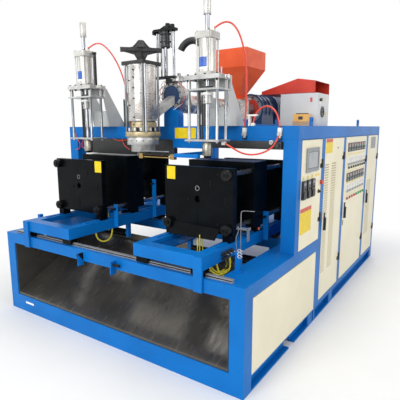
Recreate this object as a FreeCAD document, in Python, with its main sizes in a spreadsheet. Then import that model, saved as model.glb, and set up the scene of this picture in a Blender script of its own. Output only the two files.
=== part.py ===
import FreeCAD, Part
import os
import re
from math import sqrt, tan
from FreeCAD import Placement, Rotation, Vector

# Two-station extrusion blow moulding machine, in millimetres.
# X runs along the front from left to right, Y towards the back, Z up from the floor.

dimensions = {
    # base frame
    "machineWidth": 2800, "machineDepth": 4000, "deckHeight": 824, "deckPlate": 12,
    "railWidth": 60, "railHeight": 130, "railWall": 12, "postWidth": 120, "sillHeight": 165,
    "memberHeight": 102, "memberWidth": 110, "sideDeckWidth": 250, "crossBeam": 120,
    "jackNotchFront": -1170, "jackNotchWidth": 120, "jackNotchHeight": 60,
    "rearDeckSetback": 1550, "keyPostSize": 40, "keyPostHeight": 160, "keyPostInset": 200,
    "keyPostSetback": 270, "keyPostFoot": 70, "footPlate": 8,
    # discharge chute
    "chuteThickness": 4, "chuteLip": 190, "chuteTop": 660, "chuteSetback": 80, "chuteInset": 8,
    # top frame
    "topHeight": 1900, "topBeamHeight": 112, "portalBeamHeight": 127, "topBeamWidth": 130,
    "portalInset": 870,
    "lugWidth": 60, "lugHeight": 75, "lugThickness": 16, "lugHole": 17, "frontLugSetback": 1260,
    "rearLugPlace": 900, "lugInset": 38,
    # control cabinet
    "cabinetDepth": 300, "cabinetWall": 4, "hmiDoorReveal": 40, "uprightDepth": 60,
    "frontColumnWidth": 126, "panelThickness": 20, "sheetThickness": 2, "doorGap": 4,
    "doorTop": 1780, "doorBottom": 170, "hmiDoorBottom": 834, "frontPanelTop": 714,
    "panelReveal": 40,
    "hmiDoorInset": 95, "hmiDoorWidth": 515, "firstUpright": 100, "driveDoorWidth": 625,
    "secondUpright": 95, "controlDoorWidth": 950, "thirdUpright": 100, "rearUpright": 75,
    "hingePinRadius": 4, "knuckleRadius": 8, "knuckleLength": 40, "hingeLeaf": 38,
    "leafThickness": 3, "pinClearance": 0.05, "hingeLift": 1,
    "slotHeight": 8, "slotPitch": 50,
    "leverLength": 180, "leverWidth": 20, "leverThickness": 12, "gripWidth": 14, "lockPlate": 8,
    "lockPlateEdge": 5, "pivotInset": 24, "pivotRadius": 7,
    # controls on the doors
    "screenInset": 98, "screenWidth": 321, "screenBottom": 1503, "screenTop": 1711,
    "screenDepth": 12, "bezelWidth": 28, "bezelRecess": 3,
    "keypadBottom": 1280, "keypadTop": 1440, "keypadWidth": 74, "keypadDepth": 26,
    "keypadPitch": 110, "firstKeypad": 50,
    "stopButtonHeight": 1386, "stopButtonInset": 36, "stopButtonRadius": 20,
    "stopButtonTravel": 6, "stopStemRadius": 8,
    "meterSize": 100, "ammeterTall": 96, "meterDepth": 8, "meterPitch": 116, "firstMeter": 134,
    "controllerHeight": 1667, "ammeterHeight": 1512, "secondControllerHeight": 1331,
    "secondAmmeterHeight": 1208, "knobHeight": 1440, "buttonHeight": 1090,
    "knobRadius": 16, "knobDepth": 26, "knobPitch": 104,
    # linear rails, carriages and stops
    "stationOffset": 730, "carriageHalf": 335, "tubeSize": 101, "carriageBottom": 884,
    "carriageBackSetback": 1500, "rearRailSetback": 1350, "slideRailWidth": 30, "slideRailHeight": 24,
    "slideRailInset": 55, "blockHalfLength": 60, "blockHalfWidth": 35, "blockLift": 8, "blockOffset": 268,
    "runningGap": 0.3, "faceGap": 2, "carriageStroke": 730,
    "legWidth": 75, "legThickness": 20, "stopTab": 10, "stopTabDepth": 60, "stopTabTop": 800,
    "stopTabBottom": 690, "bumperRadius": 12, "leftStopPlace": -215, "rightStopPlace": 182,
    "coverThickness": 10, "coverSink": 32, "coverBackSetback": 520, "rightCoverWidth": 150,
    "driveBarrelRadius": 40, "driveBarrelHeight": 770, "driveRodRadius": 20,
    "driveBarrelStart": 480, "leftDriveSetback": 810, "rightDriveSetback": 710,
    "driveLugWidth": 40, "driveEndPlate": 30,
    "shortBracketSetback": 565, "tallBracketSetback": 1158, "shortBracketTop": 1129,
    "tallBracketTop": 1320, "outerBracketSetback": 965, "outerBracketTop": 1154,
    "bracketWidth": 52, "bracketRoot": 10, "adjusterRadius": 9, "adjusterReach": 62,
    "adjusterDrop": 45, "adjusterHead": 15, "adjusterHeadLength": 16,
    # clamp units
    "clampRailOffset": 285, "clampRailHeight": 8, "clampRailWidth": 34, "clampRailSetback": 215,
    "shoeWidth": 70, "shoeLength": 90, "shoeHeight": 52, "shoeLift": 3,
    "platenHeight": 530, "platenThickness": 60, "frontPlatenSetback": 415,
    "movingPlatenSetback": 765, "movingPlatenDepth": 250, "movingPlatenHeight": 555,
    "movingPlatenWall": 60, "movingPlatenEdge": 96, "rearPlatenSetback": 1400, "platenHole": 28,
    "tieBarRadius": 22, "tieBarOffset": 290, "tieBarLow": 45, "tieBarHigh": 480,
    "tieNutRadius": 41, "tieNutLength": 45, "tieBarEnd": 60,
    "clampBarrelRadius": 100, "clampBarrelWall": 20, "clampBarrelLength": 480,
    "clampRodRadius": 45, "clampPiston": 40,
    # blow-pin units
    "blowSetback": 565, "blowPlateLength": 330, "blowPlateWidth": 186,
    "blowPlateBottom": 1775, "blowPlateThickness": 15, "guidePlateBottom": 2180,
    "headPlateBottom": 2265, "headPlateThickness": 35, "blowPostRadius": 12.5,
    "blowPostX": 135, "blowPostY": 67, "blowRodRadius": 18, "blowBarrelRadius": 71,
    "blowBarrelWall": 6, "blowCapSize": 155, "blowCapCorner": 101, "blowCapHeight": 25,
    "blowBarrelTop": 2578,
    "blowTopCap": 52, "blowTieRadius": 6, "blowTieOffset": 62,
    "blowRodTop": 2765, "sleeveRadius": 31, "sleeveTop": 2900, "pinRadius": 42,
    "pinTop": 1765, "pinBottom": 1636, "pinCutter": 20, "pinTipRadius": 30, "pistonHeight": 30,
    "bracketPlate": 18, "bracketHalf": 118, "bracketSetback": 750, "bracketFront": 2060,
    "gussetThickness": 12, "gussetTop": 2280, "gussetTopDepth": 60,
    "seatPlate": 12, "boreGap": 0.05, "freeGap": 3,
    # die head
    "headSetback": 590, "nozzleBottom": 1671, "nozzleTop": 1735, "nozzleRadius": 112,
    "dieRingTop": 1800, "dieRingRadius": 147, "clampRingBottom": 1808, "clampRingTop": 1850,
    "clampRingRadius": 162, "neckRadius": 118, "headBottom": 1948, "headTop": 2438,
    "headRadius": 130.5, "headTieRadius": 10, "headTieOffset": 103.2, "parisonRadius": 62,
    "mandrelRadius": 50, "yokePlateThickness": 32, "yokePlateHalf": 126,
    "yokeNeckTop": 2560, "yokeNeckHalf": 28, "yokeBarDepth": 38, "yokeBarTop": 2590, "yokeBarHalf": 184,
    "yokeHubRadius": 60, "yokeHubTop": 2658,
    # parison programmer
    "programmerSetback": 920, "programmerTop": 2812, "programmerPostRadius": 12,
    "programmerPostX": 100, "programmerShift": 18, "programmerHead": 24, "programmerBaseBottom": 2355,
    "programmerBase": 20, "programmerRodRadius": 20,
    "programmerFootHalf": 58, "ductRadius": 143, "ductTube": 32, "ductHeight": 2530, "ductPlace": 470,
    "ductFlange": 45,
    # melt path and extruder
    "drumSetback": 910, "drumLength": 100, "drumRadius": 120, "drumHeight": 2190,
    "drumShift": 90, "gatePlate": 20, "adapterHalf": 40, "adapterLow": 2000, "pedestalHalf": 84, "pedestalDepth": 80,
    "pedestalReach": 18, "pedestalShoulder": 2000,
    "barrelHeight": 2130, "barrelRadius": 75, "screwRadius": 33, "screwRoot": 22,
    "gearboxFront": 720, "gearboxBack": 1080, "gearboxRadius": 199, "gearboxRib": 10, "gearboxRibs": 4,
    "gearboxFootHalf": 180,
    "heaterBandRadius": 95, "heaterBandLength": 130, "heaterBandPitch": 190,
    "firstHeaterSetback": 1050, "feedHalf": 110, "feedPlace": 370, "feedTop": 2230,
    "feedBottom": 1990, "throatRadius": 45,
    "couplingRadius": 90, "couplingGap": 70, "couplingHub": 45, "shaftRadius": 24,
    "shaftReach": 20, "motorRadius": 225, "motorLength": 560, "motorFins": 9,
    "motorFinHeight": 14, "standHalf": 260, "standThickness": 30, "standFront": 150,
    "motorBaseHalf": 182, "motorBaseTop": 1995,
    "hopperHalf": 258, "hopperTop": 2812, "hopperShoulder": 2597, "hopperWall": 3,
    "hopperOutlet": 62, "gateThickness": 5, "gateLength": 220, "gateTravel": 115,
    # covers, boxes and air gear on top of the frame
    "hoodLeft": 180, "hoodRidge": 667, "hoodRight": 891, "hoodFront": 700, "hoodBack": 1250,
    "hoodBottom": 2305, "hoodLeftTop": 2345, "hoodRidgeTop": 2482, "hoodRightTop": 2445, "hoodWall": 3,
    "hoodLegWidth": 40, "hoodFirstLeg": 300, "hoodSecondLeg": 640,
    "boxInset": 70, "boxWidth": 365, "boxFront": -500, "boxBack": -170, "boxHeight": 300,
    "boxKnobInset": 60, "boxKnobHeight": 240, "boxKnobRadius": 15, "boxKnobDepth": 22,
    "boxSwitchWidth": 16, "boxSwitchHeight": 40, "boxSwitchDepth": 10,
    "lubricatorPlace": -600, "lubricatorInset": 100, "lubricatorWidth": 150,
    "lubricatorHeight": 105, "lubricatorDepth": 80,
    "knifeBarSetback": 440, "knifeBladeLeft": 140, "knifeClampLeft": 446, "knifeArmLeft": 489,
    "knifeArmWidth": 42, "knifeArmBottom": 1642, "knifeArmTop": 1672, "knifeActuator": 730,
    "knifeTravel": 240, "knifeTubeRadius": 7, "knifeTubeHeight": 1634, "knifeBlade": 3,
    "knifeBladeHeight": 1650, "hangerThickness": 12, "hangerLeft": 140, "hangerBottom": 1695,
    "fittingSize": 30, "fittingBottom": 1850, "fittingTop": 1885, "leftFitting": -410,
    "middleFitting": 922, "rightFitting": 1246, "topFitting": 985, "topFittingHeight": 25, "capFitting": 38,
    "capFittingHeight": 40, "pinFitting": 125,
    # hoses
    "airHoseRadius": 7, "dripHoseRadius": 8, "routeSetback": 2000,
}

doc = FreeCAD.newDocument("BlowMouldingMachine")
sheet = doc.addObject("Spreadsheet::Sheet", "Sizes")
for row, (word, number) in enumerate(dimensions.items(), start=1):
    sheet.set(f"A{row}", word)
    sheet.set(f"B{row}", str(number))
    sheet.setAlias(f"B{row}", word)
doc.recompute()

nodes = []
turns = {
    "X": Rotation(Vector(0, 1, 0), 90),
    "Y": Rotation(Vector(1, 0, 0), -90),
    "Z": Rotation(),
}

# Places worked out from the driving dimensions; bound() writes each out where it is used.
places = {
    "leftSide": "-machineWidth / 2",
    "rightSide": "machineWidth / 2",
    "frontSide": "-machineDepth / 2",
    "backSide": "machineDepth / 2",
    "portalFront": "frontSide + portalInset",
    "portalBack": "portalFront + crossBeam",
    "topUnderside": "topHeight - topBeamHeight",
    "portalUnderside": "topHeight - portalBeamHeight",
    "cabinetInner": "rightSide - cabinetDepth",
    "frontPanelFront": "frontSide + postWidth + doorGap",
    "frontPanelBack": "hmiDoorRear - panelReveal",
    "chuteBack": "portalFront + chuteSetback",
    "cabinetFront": "hmiDoorRear + hmiDoorReveal",
    "hmiDoorFront": "portalFront + hmiDoorInset",
    "hmiDoorRear": "hmiDoorFront + hmiDoorWidth",
    "driveDoorFront": "hmiDoorRear + firstUpright",
    "driveDoorRear": "driveDoorFront + driveDoorWidth",
    "controlDoorFront": "driveDoorRear + secondUpright",
    "controlDoorRear": "controlDoorFront + controlDoorWidth",
    "rearDoorFront": "controlDoorRear + thirdUpright",
    "rearDoorRear": "backSide - rearUpright",
    "keyPostPlace": "frontSide + keyPostSetback",
    "rearDeckFront": "frontSide + rearDeckSetback",
    "rearRailPlace": "frontSide + rearRailSetback",
    "carriageBack": "frontSide + carriageBackSetback",
    "coverBack": "frontSide + coverBackSetback",
    "leftDrivePlace": "frontSide + leftDriveSetback",
    "rightDrivePlace": "frontSide + rightDriveSetback",
    "shortBracketPlace": "frontSide + shortBracketSetback",
    "tallBracketPlace": "frontSide + tallBracketSetback",
    "outerBracketPlace": "frontSide + outerBracketSetback",
    "clampRailFront": "frontSide + clampRailSetback",
    "frontPlatenPlace": "frontSide + frontPlatenSetback",
    "movingPlatenFace": "frontSide + movingPlatenSetback",
    "rearPlatenPlace": "frontSide + rearPlatenSetback",
    "blowPlace": "frontSide + blowSetback",
    "headPlace": "frontSide + headSetback",
    "bracketPlace": "frontSide + bracketSetback",
    "programmerPlace": "frontSide + programmerSetback",
    "drumPlace": "frontSide + drumSetback",
    "firstHeaterBand": "frontSide + firstHeaterSetback",
    "knifeBarPlace": "frontSide + knifeBarSetback",
    "frontLugPlace": "frontSide + frontLugSetback",
    "barrelFront": "drumPlace + drumLength + gatePlate",
    "screwFront": "barrelFront + freeGap",
    "carriageFront": "frontSide - faceGap",
    "carriageTop": "carriageBottom + tubeSize",
    "platenBottom": "carriageTop + clampRailHeight + shoeHeight",
    "boxRight": "rightSide - boxInset",
    "boxLeft": "boxRight - boxWidth",
    "lubricatorRight": "rightSide - lubricatorInset",
    "lubricatorLeft": "lubricatorRight - lubricatorWidth",
}


def size(word):
    return float(sheet.get(word))


def bound(expression):
    """Write each word of an expression as its cell of the sheet, or as the place it stands for."""
    def meaning(match):
        word = match.group()
        return f"({bound(places[word])})" if word in places else "Sizes." + word
    return re.sub(r"[A-Za-z]\w*", meaning, str(expression))


def place(shape, spot):
    for axis, value in zip("xyz", spot):
        shape.setExpression("Placement.Base." + axis, bound(value))


def about(centre, half):
    return f"({centre}) - ({half})", f"({centre}) + ({half})"


def sided(side, low, high):
    """The span as it is on the right side, or mirrored for the left one."""
    return (low, high) if side > 0 else (f"-({high})", f"-({low})")


def box(x, y, z):
    solid = doc.addObject("Part::Box", "Box")
    for length, span in zip(("Length", "Width", "Height"), (x, y, z)):
        solid.setExpression(length, bound(f"({span[1]}) - ({span[0]})"))
    place(solid, (x[0], y[0], z[0]))
    return solid


def along(solid, axis, span, centre):
    """Stand a turned solid on its span of an axis, through the other two coordinates."""
    solid.Placement = Placement(Vector(), turns[axis])
    solid.setExpression("Height", bound(f"({span[1]}) - ({span[0]})"))
    spot = list(centre)
    spot.insert("XYZ".index(axis), span[0])
    place(solid, spot)
    return solid


def rod(axis, radius, span, centre):
    solid = doc.addObject("Part::Cylinder", "Rod")
    solid.setExpression("Radius", bound(radius))
    return along(solid, axis, span, centre)


def cone(axis, first, last, span, centre):
    solid = doc.addObject("Part::Cone", "Cone")
    solid.setExpression("Radius1", bound(first))
    solid.setExpression("Radius2", bound(last))
    return along(solid, axis, span, centre)


def wedge(y, firstX, firstZ, lastX, lastZ, spot=(0, 0, 0), turn=Rotation()):
    """A solid that changes evenly from its first to its last rectangle along Y."""
    solid = doc.addObject("Part::Wedge", "Wedge")
    spans = {"Ymin": y[0], "Ymax": y[1], "Xmin": firstX[0], "Xmax": firstX[1], "Zmin": firstZ[0],
             "Zmax": firstZ[1], "X2min": lastX[0], "X2max": lastX[1], "Z2min": lastZ[0],
             "Z2max": lastZ[1]}
    solid.Placement = Placement(Vector(), turn)
    for name, value in spans.items():
        solid.setExpression(name, bound(value))
    place(solid, spot)
    return solid


def join(shapes):
    if len(shapes) == 1:
        return shapes[0]
    fusion = doc.addObject("Part::MultiFuse", "Join")
    fusion.Shapes = shapes
    return fusion


def cut(body, tools):
    result = doc.addObject("Part::Cut", "Cut")
    result.Base = body
    result.Tool = join(tools)
    return result


def group(shapes):
    """Like pieces that stay separate solids of one sub-part."""
    result = doc.addObject("Part::Compound", "Group")
    result.Links = shapes
    return result


def node(label, shape):
    shape.Label = label
    nodes.append(shape)


def tube(axis, outer, inner, span, centre):
    return cut(rod(axis, outer, span, centre), [rod(axis, inner, span, centre)])


def travel_stops():
    stops = []
    bumperTip = "stationOffset + carriageHalf - legWidth - carriageStroke - runningGap"
    for side, tab in ((-1, "-leftStopPlace"), (1, "rightStopPlace")):
        plate = box(sided(side, tab, f"{tab} + stopTab"), ("frontSide - stopTabDepth", "frontSide"),
                    ("stopTabBottom", "stopTabTop"))
        bolt = rod("X", "bumperRadius", sided(side, f"{tab} + stopTab", bumperTip),
                   ("frontSide - stopTabDepth / 2", "deckHeight - memberHeight / 2"))
        stops.append(join([plate, bolt]))
    return stops


def make_base_frame():
    top = ("deckHeight - memberHeight", "deckHeight - deckPlate")
    floor = (0, "railHeight")
    steel = []
    for side in (-1, 1):
        channel = box(sided(side, "rightSide - railWidth", "rightSide"), ("frontSide", "backSide"), floor)
        groove = box(sided(side, "rightSide - railWidth + railWall", "rightSide + railWall"),
                     ("frontSide + postWidth", "backSide - postWidth"),
                     ("railWall", "railHeight - railWall"))
        notch = box(sided(side, "rightSide - railWidth - railWall", "rightSide + railWall"),
                    ("jackNotchFront", "jackNotchFront + jackNotchWidth"),
                    ("-railWall", "jackNotchHeight"))
        steel.append(cut(channel, [groove, notch]))
        postX = sided(side, "rightSide - postWidth", "rightSide")
        steel.append(box(postX, ("frontSide", "frontSide + postWidth"), (0, "deckHeight")))
        deckX = sided(side, "rightSide - sideDeckWidth", "rightSide")
        plateEnd = "hmiDoorRear + doorGap" if side > 0 else "portalFront - faceGap"
        steel.append(box(deckX, ("frontSide", plateEnd), (top[1], "deckHeight")))
    steel.append(box(("leftSide", "rightSide"), ("frontSide", "frontSide + postWidth"), (0, "sillHeight")))
    steel.append(box(("leftSide", "rightSide"), ("backSide - postWidth", "backSide"), floor))
    for centre in ("rearRailPlace", 0):
        steel.append(box(("leftSide", "rightSide"), about(centre, "crossBeam / 2"), floor))
    sideX = ("leftSide", "leftSide + memberWidth")
    steel.append(box(sideX, ("frontSide", "backSide"), top))
    steel.append(box(("rightSide - memberWidth", "rightSide"), ("frontSide", "hmiDoorRear + doorGap"), top))
    steel.append(box(("leftSide", "rightSide"), ("frontSide", "frontSide + memberWidth"),
                     (top[0], "deckHeight")))
    steel.append(box(("leftSide", "cabinetInner"), ("backSide - memberWidth", "backSide"), top))
    railBeam = about("rearRailPlace", "memberWidth / 2")
    steel.append(box(("leftSide", "cabinetInner"), railBeam, (top[0], "deckHeight")))
    for x in (("leftSide", "leftSide + postWidth"), ("cabinetInner - postWidth", "cabinetInner")):
        steel.append(box(x, railBeam, (0, top[1])))
    for y in (("portalFront", "portalBack"), ("backSide - postWidth", "backSide")):
        steel.append(box(("leftSide", "leftSide + postWidth"), y, (0, top[1])))
    steel.append(box(("rightSide - uprightDepth", "rightSide"),
                     ("frontPanelBack + doorGap", "hmiDoorRear + doorGap"),
                     (0, "deckHeight")))
    steel.append(box(("leftSide", "cabinetInner"), ("rearDeckFront", "backSide"), (top[1], "deckHeight")))
    steel.append(box(("leftSide", "leftSide + topBeamWidth"), ("portalFront", "rearDeckFront"),
                     (top[1], "deckHeight")))
    for side in (-1, 1):
        centre = f"{side} * (rightSide - keyPostInset)"
        steel.append(box(about(centre, "keyPostSize / 2"), about("keyPostPlace", "keyPostSize / 2"),
                         ("deckHeight", "deckHeight + keyPostHeight")))
        steel.append(box(about(centre, "keyPostFoot / 2"), about("keyPostPlace", "keyPostFoot / 2"),
                         ("deckHeight", "deckHeight + footPlate")))
    node("base_frame", join(steel + travel_stops()))


def make_chute():
    x = ("leftSide + postWidth + chuteInset", "rightSide - postWidth - chuteInset")
    y = ("frontSide + chuteInset", "chuteBack")
    bottom = ("chuteLip - chuteThickness", "chuteLip")
    slope = wedge(y, x, bottom, x, ("chuteTop - chuteThickness", "chuteTop"))
    lip = box(x, (y[0], f"{y[0]} + chuteThickness"), ("sillHeight", "chuteLip"))
    end = box(x, ("chuteBack - chuteThickness", "chuteBack"),
              ("chuteTop - chuteThickness", "deckHeight - memberHeight"))
    walls = []
    for wall in (("(" + x[0] + ")", f"{x[0]} + chuteThickness"),
                 (f"{x[1]} - chuteThickness", "(" + x[1] + ")")):
        walls.append(box(wall, y, ("sillHeight", "deckHeight - memberHeight")))
    node("discharge_chute", join([slope, lip, end] + walls))


def make_top_frame():
    """Beams, posts and eye plates, each its own solid, face to face where they are welded."""
    z = ("topUnderside", "topHeight")
    innerX = ("leftSide + topBeamWidth", "rightSide - topBeamWidth")
    rearY = ("backSide - topBeamWidth", "backSide")
    steel = [box(("leftSide", "rightSide"), ("portalFront", "portalBack"), z),
             box((innerX[0], "rightSide - frontColumnWidth"), ("portalFront", "portalBack"),
                 ("portalUnderside", "topUnderside")),
             box(("leftSide", "rightSide"), rearY, z)]
    for side in (-1, 1):
        steel.append(box(sided(side, innerX[1], "rightSide"), ("portalBack", rearY[0]), z))
    for centre in ("rearLugPlace - crossBeam", "standFront + crossBeam", "boxFront + crossBeam"):
        steel.append(box(innerX, about(centre, "crossBeam / 2"), z))
    for y in (("portalFront", "portalBack"), ("standFront", "standFront + topBeamWidth"), rearY):
        steel.append(box(("leftSide", innerX[0]), y, ("deckHeight", "topUnderside")))
    for place_ in ("frontLugPlace", "rearLugPlace"):
        for side in (-1, 1):
            x = about(f"{side} * (rightSide - lugInset)", "lugThickness / 2")
            plate = box(x, about(place_, "lugWidth / 2"), ("topHeight", "topHeight + lugHeight"))
            centre = (place_, "topHeight + lugHeight - lugWidth / 2")
            steel.append(cut(plate, [rod("X", "lugHole", x, centre)]))
    node("top_frame", group(steel))


doors = {
    "hmi": ("hmiDoorFront", "hmiDoorRear", "hmiDoorBottom", (1557, 1048)),
    "drive": ("driveDoorFront", "driveDoorRear", "doorBottom", (1589, 468)),
    "control": ("controlDoorFront", "controlDoorRear", "doorBottom", (1492, 469)),
    "rear": ("rearDoorFront", "rearDoorRear", "doorBottom", (1489, 475)),
}
handles = {"drive": 1068, "control": 1060, "rear": 1073}
vents = {
    "hmi": [],
    "drive": [(17, 130), (228, 370)],
    "control": [],
    "rear": [(60, 290)],
}
ventRows = {"drive": (460, 1590), "rear": (465, 1240)}


def hinge_line(rear):
    return "rightSide + knuckleRadius + pinClearance + hingeLift", f"{rear} + doorGap / 2"


def make_hinge_half(doorRear, height):
    """The fixed half of a hinge: its pin with a knuckle above it, and a leaf on the upright."""
    centre = hinge_line(doorRear)
    leafZ = (f"{height} + runningGap", f"{height} + knuckleLength")
    return join([
        rod("Z", "hingePinRadius", (f"{height} - knuckleLength", height), centre),
        rod("Z", "knuckleRadius", (height, f"{height} + knuckleLength"), centre),
        box(("rightSide", f"{centre[0]} - hingePinRadius"),
            (f"{doorRear} + doorGap", f"{doorRear} + hingeLeaf"), leafZ),
        box(("rightSide + hingeLift + leafThickness", f"{centre[0]} + leafThickness"),
            (centre[1], f"{doorRear} + doorGap + leafThickness"), leafZ)])


def make_cabinet():
    """Sheets, uprights and hinge halves, each its own solid, face to face where they are welded."""
    sheetX = ("cabinetInner + cabinetWall", "rightSide - uprightDepth")
    columnX = "rightSide - frontColumnWidth"
    wallX = ("cabinetInner", sheetX[0])
    barX = (sheetX[1], "rightSide")
    columnY = ("portalFront", "hmiDoorFront - doorGap")
    shelfZ = ("deckHeight", "deckHeight + cabinetWall")
    roof = "topUnderside - cabinetWall"
    steel = [box(("cabinetInner", "rightSide"), ("cabinetFront", "backSide"), (roof, "topUnderside")),
             box((columnX, "rightSide"), ("portalFront", "cabinetFront"), (roof, "topUnderside")),
             box(wallX, ("cabinetFront", "backSide"), ("railHeight", roof)),
             box((columnX, f"{columnX} + cabinetWall"), (columnY[1], "cabinetFront"), ("deckHeight", roof)),
             box(sheetX, ("cabinetFront", "backSide"), ("railHeight", "railHeight + cabinetWall")),
             box(sheetX, ("cabinetFront", "cabinetFront + cabinetWall"),
                 ("railHeight + cabinetWall", shelfZ[1])),
             box((sheetX[0], columnX), ("cabinetFront", "cabinetFront + cabinetWall"), (shelfZ[1], roof)),
             box(sheetX, ("backSide - cabinetWall", "backSide"), ("railHeight + cabinetWall", roof)),
             box((f"{columnX} + cabinetWall", sheetX[1]), (columnY[1], "cabinetFront"), shelfZ),
             box((columnX, "rightSide"), columnY, ("deckHeight", roof)),
             box(barX, (columnY[1], "hmiDoorRear + doorGap"), ("deckHeight", "hmiDoorBottom - doorGap")),
             box(barX, ("hmiDoorRear + doorGap", "backSide"), ("railHeight", "doorBottom - doorGap"))]
    uprights = [(f"{doors[before][1]} + doorGap", f"{doors[after][0]} - doorGap")
                for before, after in (("hmi", "drive"), ("drive", "control"), ("control", "rear"))]
    for y in uprights + [("rearDoorRear + doorGap", "backSide")]:
        steel.append(box(barX, y, ("doorBottom - doorGap", roof)))
    for doorFront, doorRear, bottom, hinges in doors.values():
        steel += [make_hinge_half(doorRear, height) for height in hinges]
    node("cabinet_shell", group(steel))


def make_door(name):
    doorFront, doorRear, bottom, hinges = doors[name]
    y = (doorFront, doorRear)
    z = (bottom, "doorTop")
    pan = box(("rightSide - panelThickness", "rightSide"), y, z)
    rim = "2 * sheetThickness"
    hollows = [box(("rightSide - 2 * panelThickness", "rightSide - sheetThickness"),
                   (f"{doorFront} + {rim}", f"{doorRear} - {rim}"),
                   (f"{bottom} + {rim}", f"doorTop - {rim}"))]
    if name in ventRows:
        low, high = ventRows[name]
        rows = int((high - low) / size("slotPitch"))
        for slotY in vents[name]:
            for number in range(rows):
                height = f"{low} + {number} * slotPitch"
                hollows.append(box(("rightSide - 2 * sheetThickness", "rightSide + sheetThickness"),
                                   [f"{doorFront} + {edge}" for edge in slotY],
                                   (height, f"{height} + slotHeight")))
    centre = hinge_line(doorRear)
    hinged = []
    for height in hinges:
        span = (f"{height} - knuckleLength", f"{height} - pinClearance")
        knuckle = tube("Z", "knuckleRadius", "hingePinRadius + pinClearance", span, centre)
        leaf = box(("rightSide", "rightSide + leafThickness"),
                   (f"{doorRear} - hingeLeaf", f"{doorRear} - leafThickness"), span)
        bridge = box(("rightSide", f"{centre[0]} - hingePinRadius - hingeLift"),
                     (f"{doorRear} - 3 * leafThickness", doorRear), span)
        hinged.append(join([knuckle, leaf, bridge]))
    if name in handles:
        top = handles[name]
        middle = f"{doorFront} + pivotInset"
        plate = box(("rightSide", "rightSide + lockPlate"), about(middle, "leverWidth / 2 + lockPlateEdge"),
                    (f"{top} - leverLength", f"{top} + lockPlateEdge"))
        pivot = rod("X", "pivotRadius", ("rightSide", "rightSide + lockPlate + leverThickness"),
                    (middle, f"{top} - pivotInset"))
        hinged.append(join([plate, pivot]))
    if name == "hmi":
        hinged.append(tube("X", "stopButtonRadius + leafThickness", "stopStemRadius + boreGap",
                           ("rightSide", "rightSide + lockPlate"),
                           ("hmiDoorRear - stopButtonInset", "stopButtonHeight")))
    node(f"{name}_door", join([cut(pan, hollows)] + hinged))


def make_handle(name):
    top = handles[name]
    middle = f"{doors[name][0]} + pivotInset"
    x = ("rightSide + lockPlate + runningGap", "rightSide + lockPlate + leverThickness")
    bottom = f"{top} - leverLength + lockPlateEdge"
    lever = box(x, about(middle, "leverWidth / 2"), (bottom, top))
    grip = box((x[1], f"{x[1]} + leverThickness"), about(middle, "gripWidth / 2"),
               (bottom, f"{top} - 2 * pivotInset"))
    bore = rod("X", "pivotRadius + boreGap", x, (middle, f"{top} - pivotInset"))
    node(f"{name}_door_handle", join([cut(lever, [bore]), grip]))


def make_side_panel():
    y = ("frontPanelFront", "frontPanelBack")
    z = ("railHeight", "frontPanelTop")
    pan = box(("rightSide - panelThickness", "rightSide"), y, z)
    hollow = box(("rightSide - 2 * panelThickness", "rightSide - sheetThickness"),
                 (f"{y[0]} + 2 * sheetThickness", f"{y[1]} - 2 * sheetThickness"),
                 (f"{z[0]} + 2 * sheetThickness", f"{z[1]} - 2 * sheetThickness"))
    node("side_panel", cut(pan, [hollow]))


def make_screen_panel():
    bezel = box(("rightSide", "rightSide + screenDepth"),
                ("hmiDoorFront + screenInset", "hmiDoorFront + screenInset + screenWidth"),
                ("screenBottom", "screenTop"))
    recess = box(("rightSide + screenDepth - bezelRecess", "rightSide + 2 * screenDepth"),
                 ("hmiDoorFront + screenInset + bezelWidth",
                  "hmiDoorFront + screenInset + screenWidth - bezelWidth"),
                 ("screenBottom + bezelWidth", "screenTop - bezelWidth"))
    pieces = [cut(bezel, [recess])]
    for number in range(3):
        centre = f"hmiDoorFront + firstKeypad + {number} * keypadPitch"
        pieces.append(box(("rightSide", "rightSide + keypadDepth"), about(centre, "keypadWidth / 2"),
                          ("keypadBottom", "keypadTop")))
    node("operator_panel", group(pieces))


def make_emergency_stop():
    centre = ("hmiDoorRear - stopButtonInset", "stopButtonHeight")
    collar = "rightSide + lockPlate"
    stem = rod("X", "stopStemRadius",
               ("rightSide + stopButtonTravel", f"{collar} + stopButtonTravel"), centre)
    head = rod("X", "stopButtonRadius",
               (f"{collar} + stopButtonTravel", f"{collar} + 4 * stopButtonTravel"), centre)
    node("emergency_stop", join([stem, head]))


def make_instruments():
    pieces = []
    rows = (("controllerHeight", "meterSize"), ("ammeterHeight", "ammeterTall"),
            ("secondControllerHeight", "meterSize"), ("secondAmmeterHeight", "ammeterTall"))
    for row, height in rows:
        for number in range(7):
            centre = f"controlDoorFront + firstMeter + {number} * meterPitch"
            pieces.append(box(("rightSide", "rightSide + meterDepth"), about(centre, "meterSize / 2"),
                              about(row, f"{height} / 2")))
    for row in ("knobHeight", "buttonHeight"):
        for number in range(8):
            centre = f"controlDoorFront + firstMeter + leafThickness + {number} * knobPitch"
            pieces.append(rod("X", "knobRadius", ("rightSide", "rightSide + knobDepth"), (centre, row)))
    node("control_instruments", group(pieces))


def make_slide_rails():
    rails = []
    for centre in ("frontSide + slideRailInset", "rearRailPlace"):
        end = "cabinetInner" if centre == "rearRailPlace" else "rightSide - postWidth"
        rails.append(box(("leftSide + postWidth", end), about(centre, "slideRailWidth / 2"),
                         ("deckHeight", "deckHeight + slideRailHeight")))
    node("slide_rails", group(rails))


def drive_line(side):
    return ("leftDrivePlace" if side < 0 else "rightDrivePlace"), "driveBarrelHeight"


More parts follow.
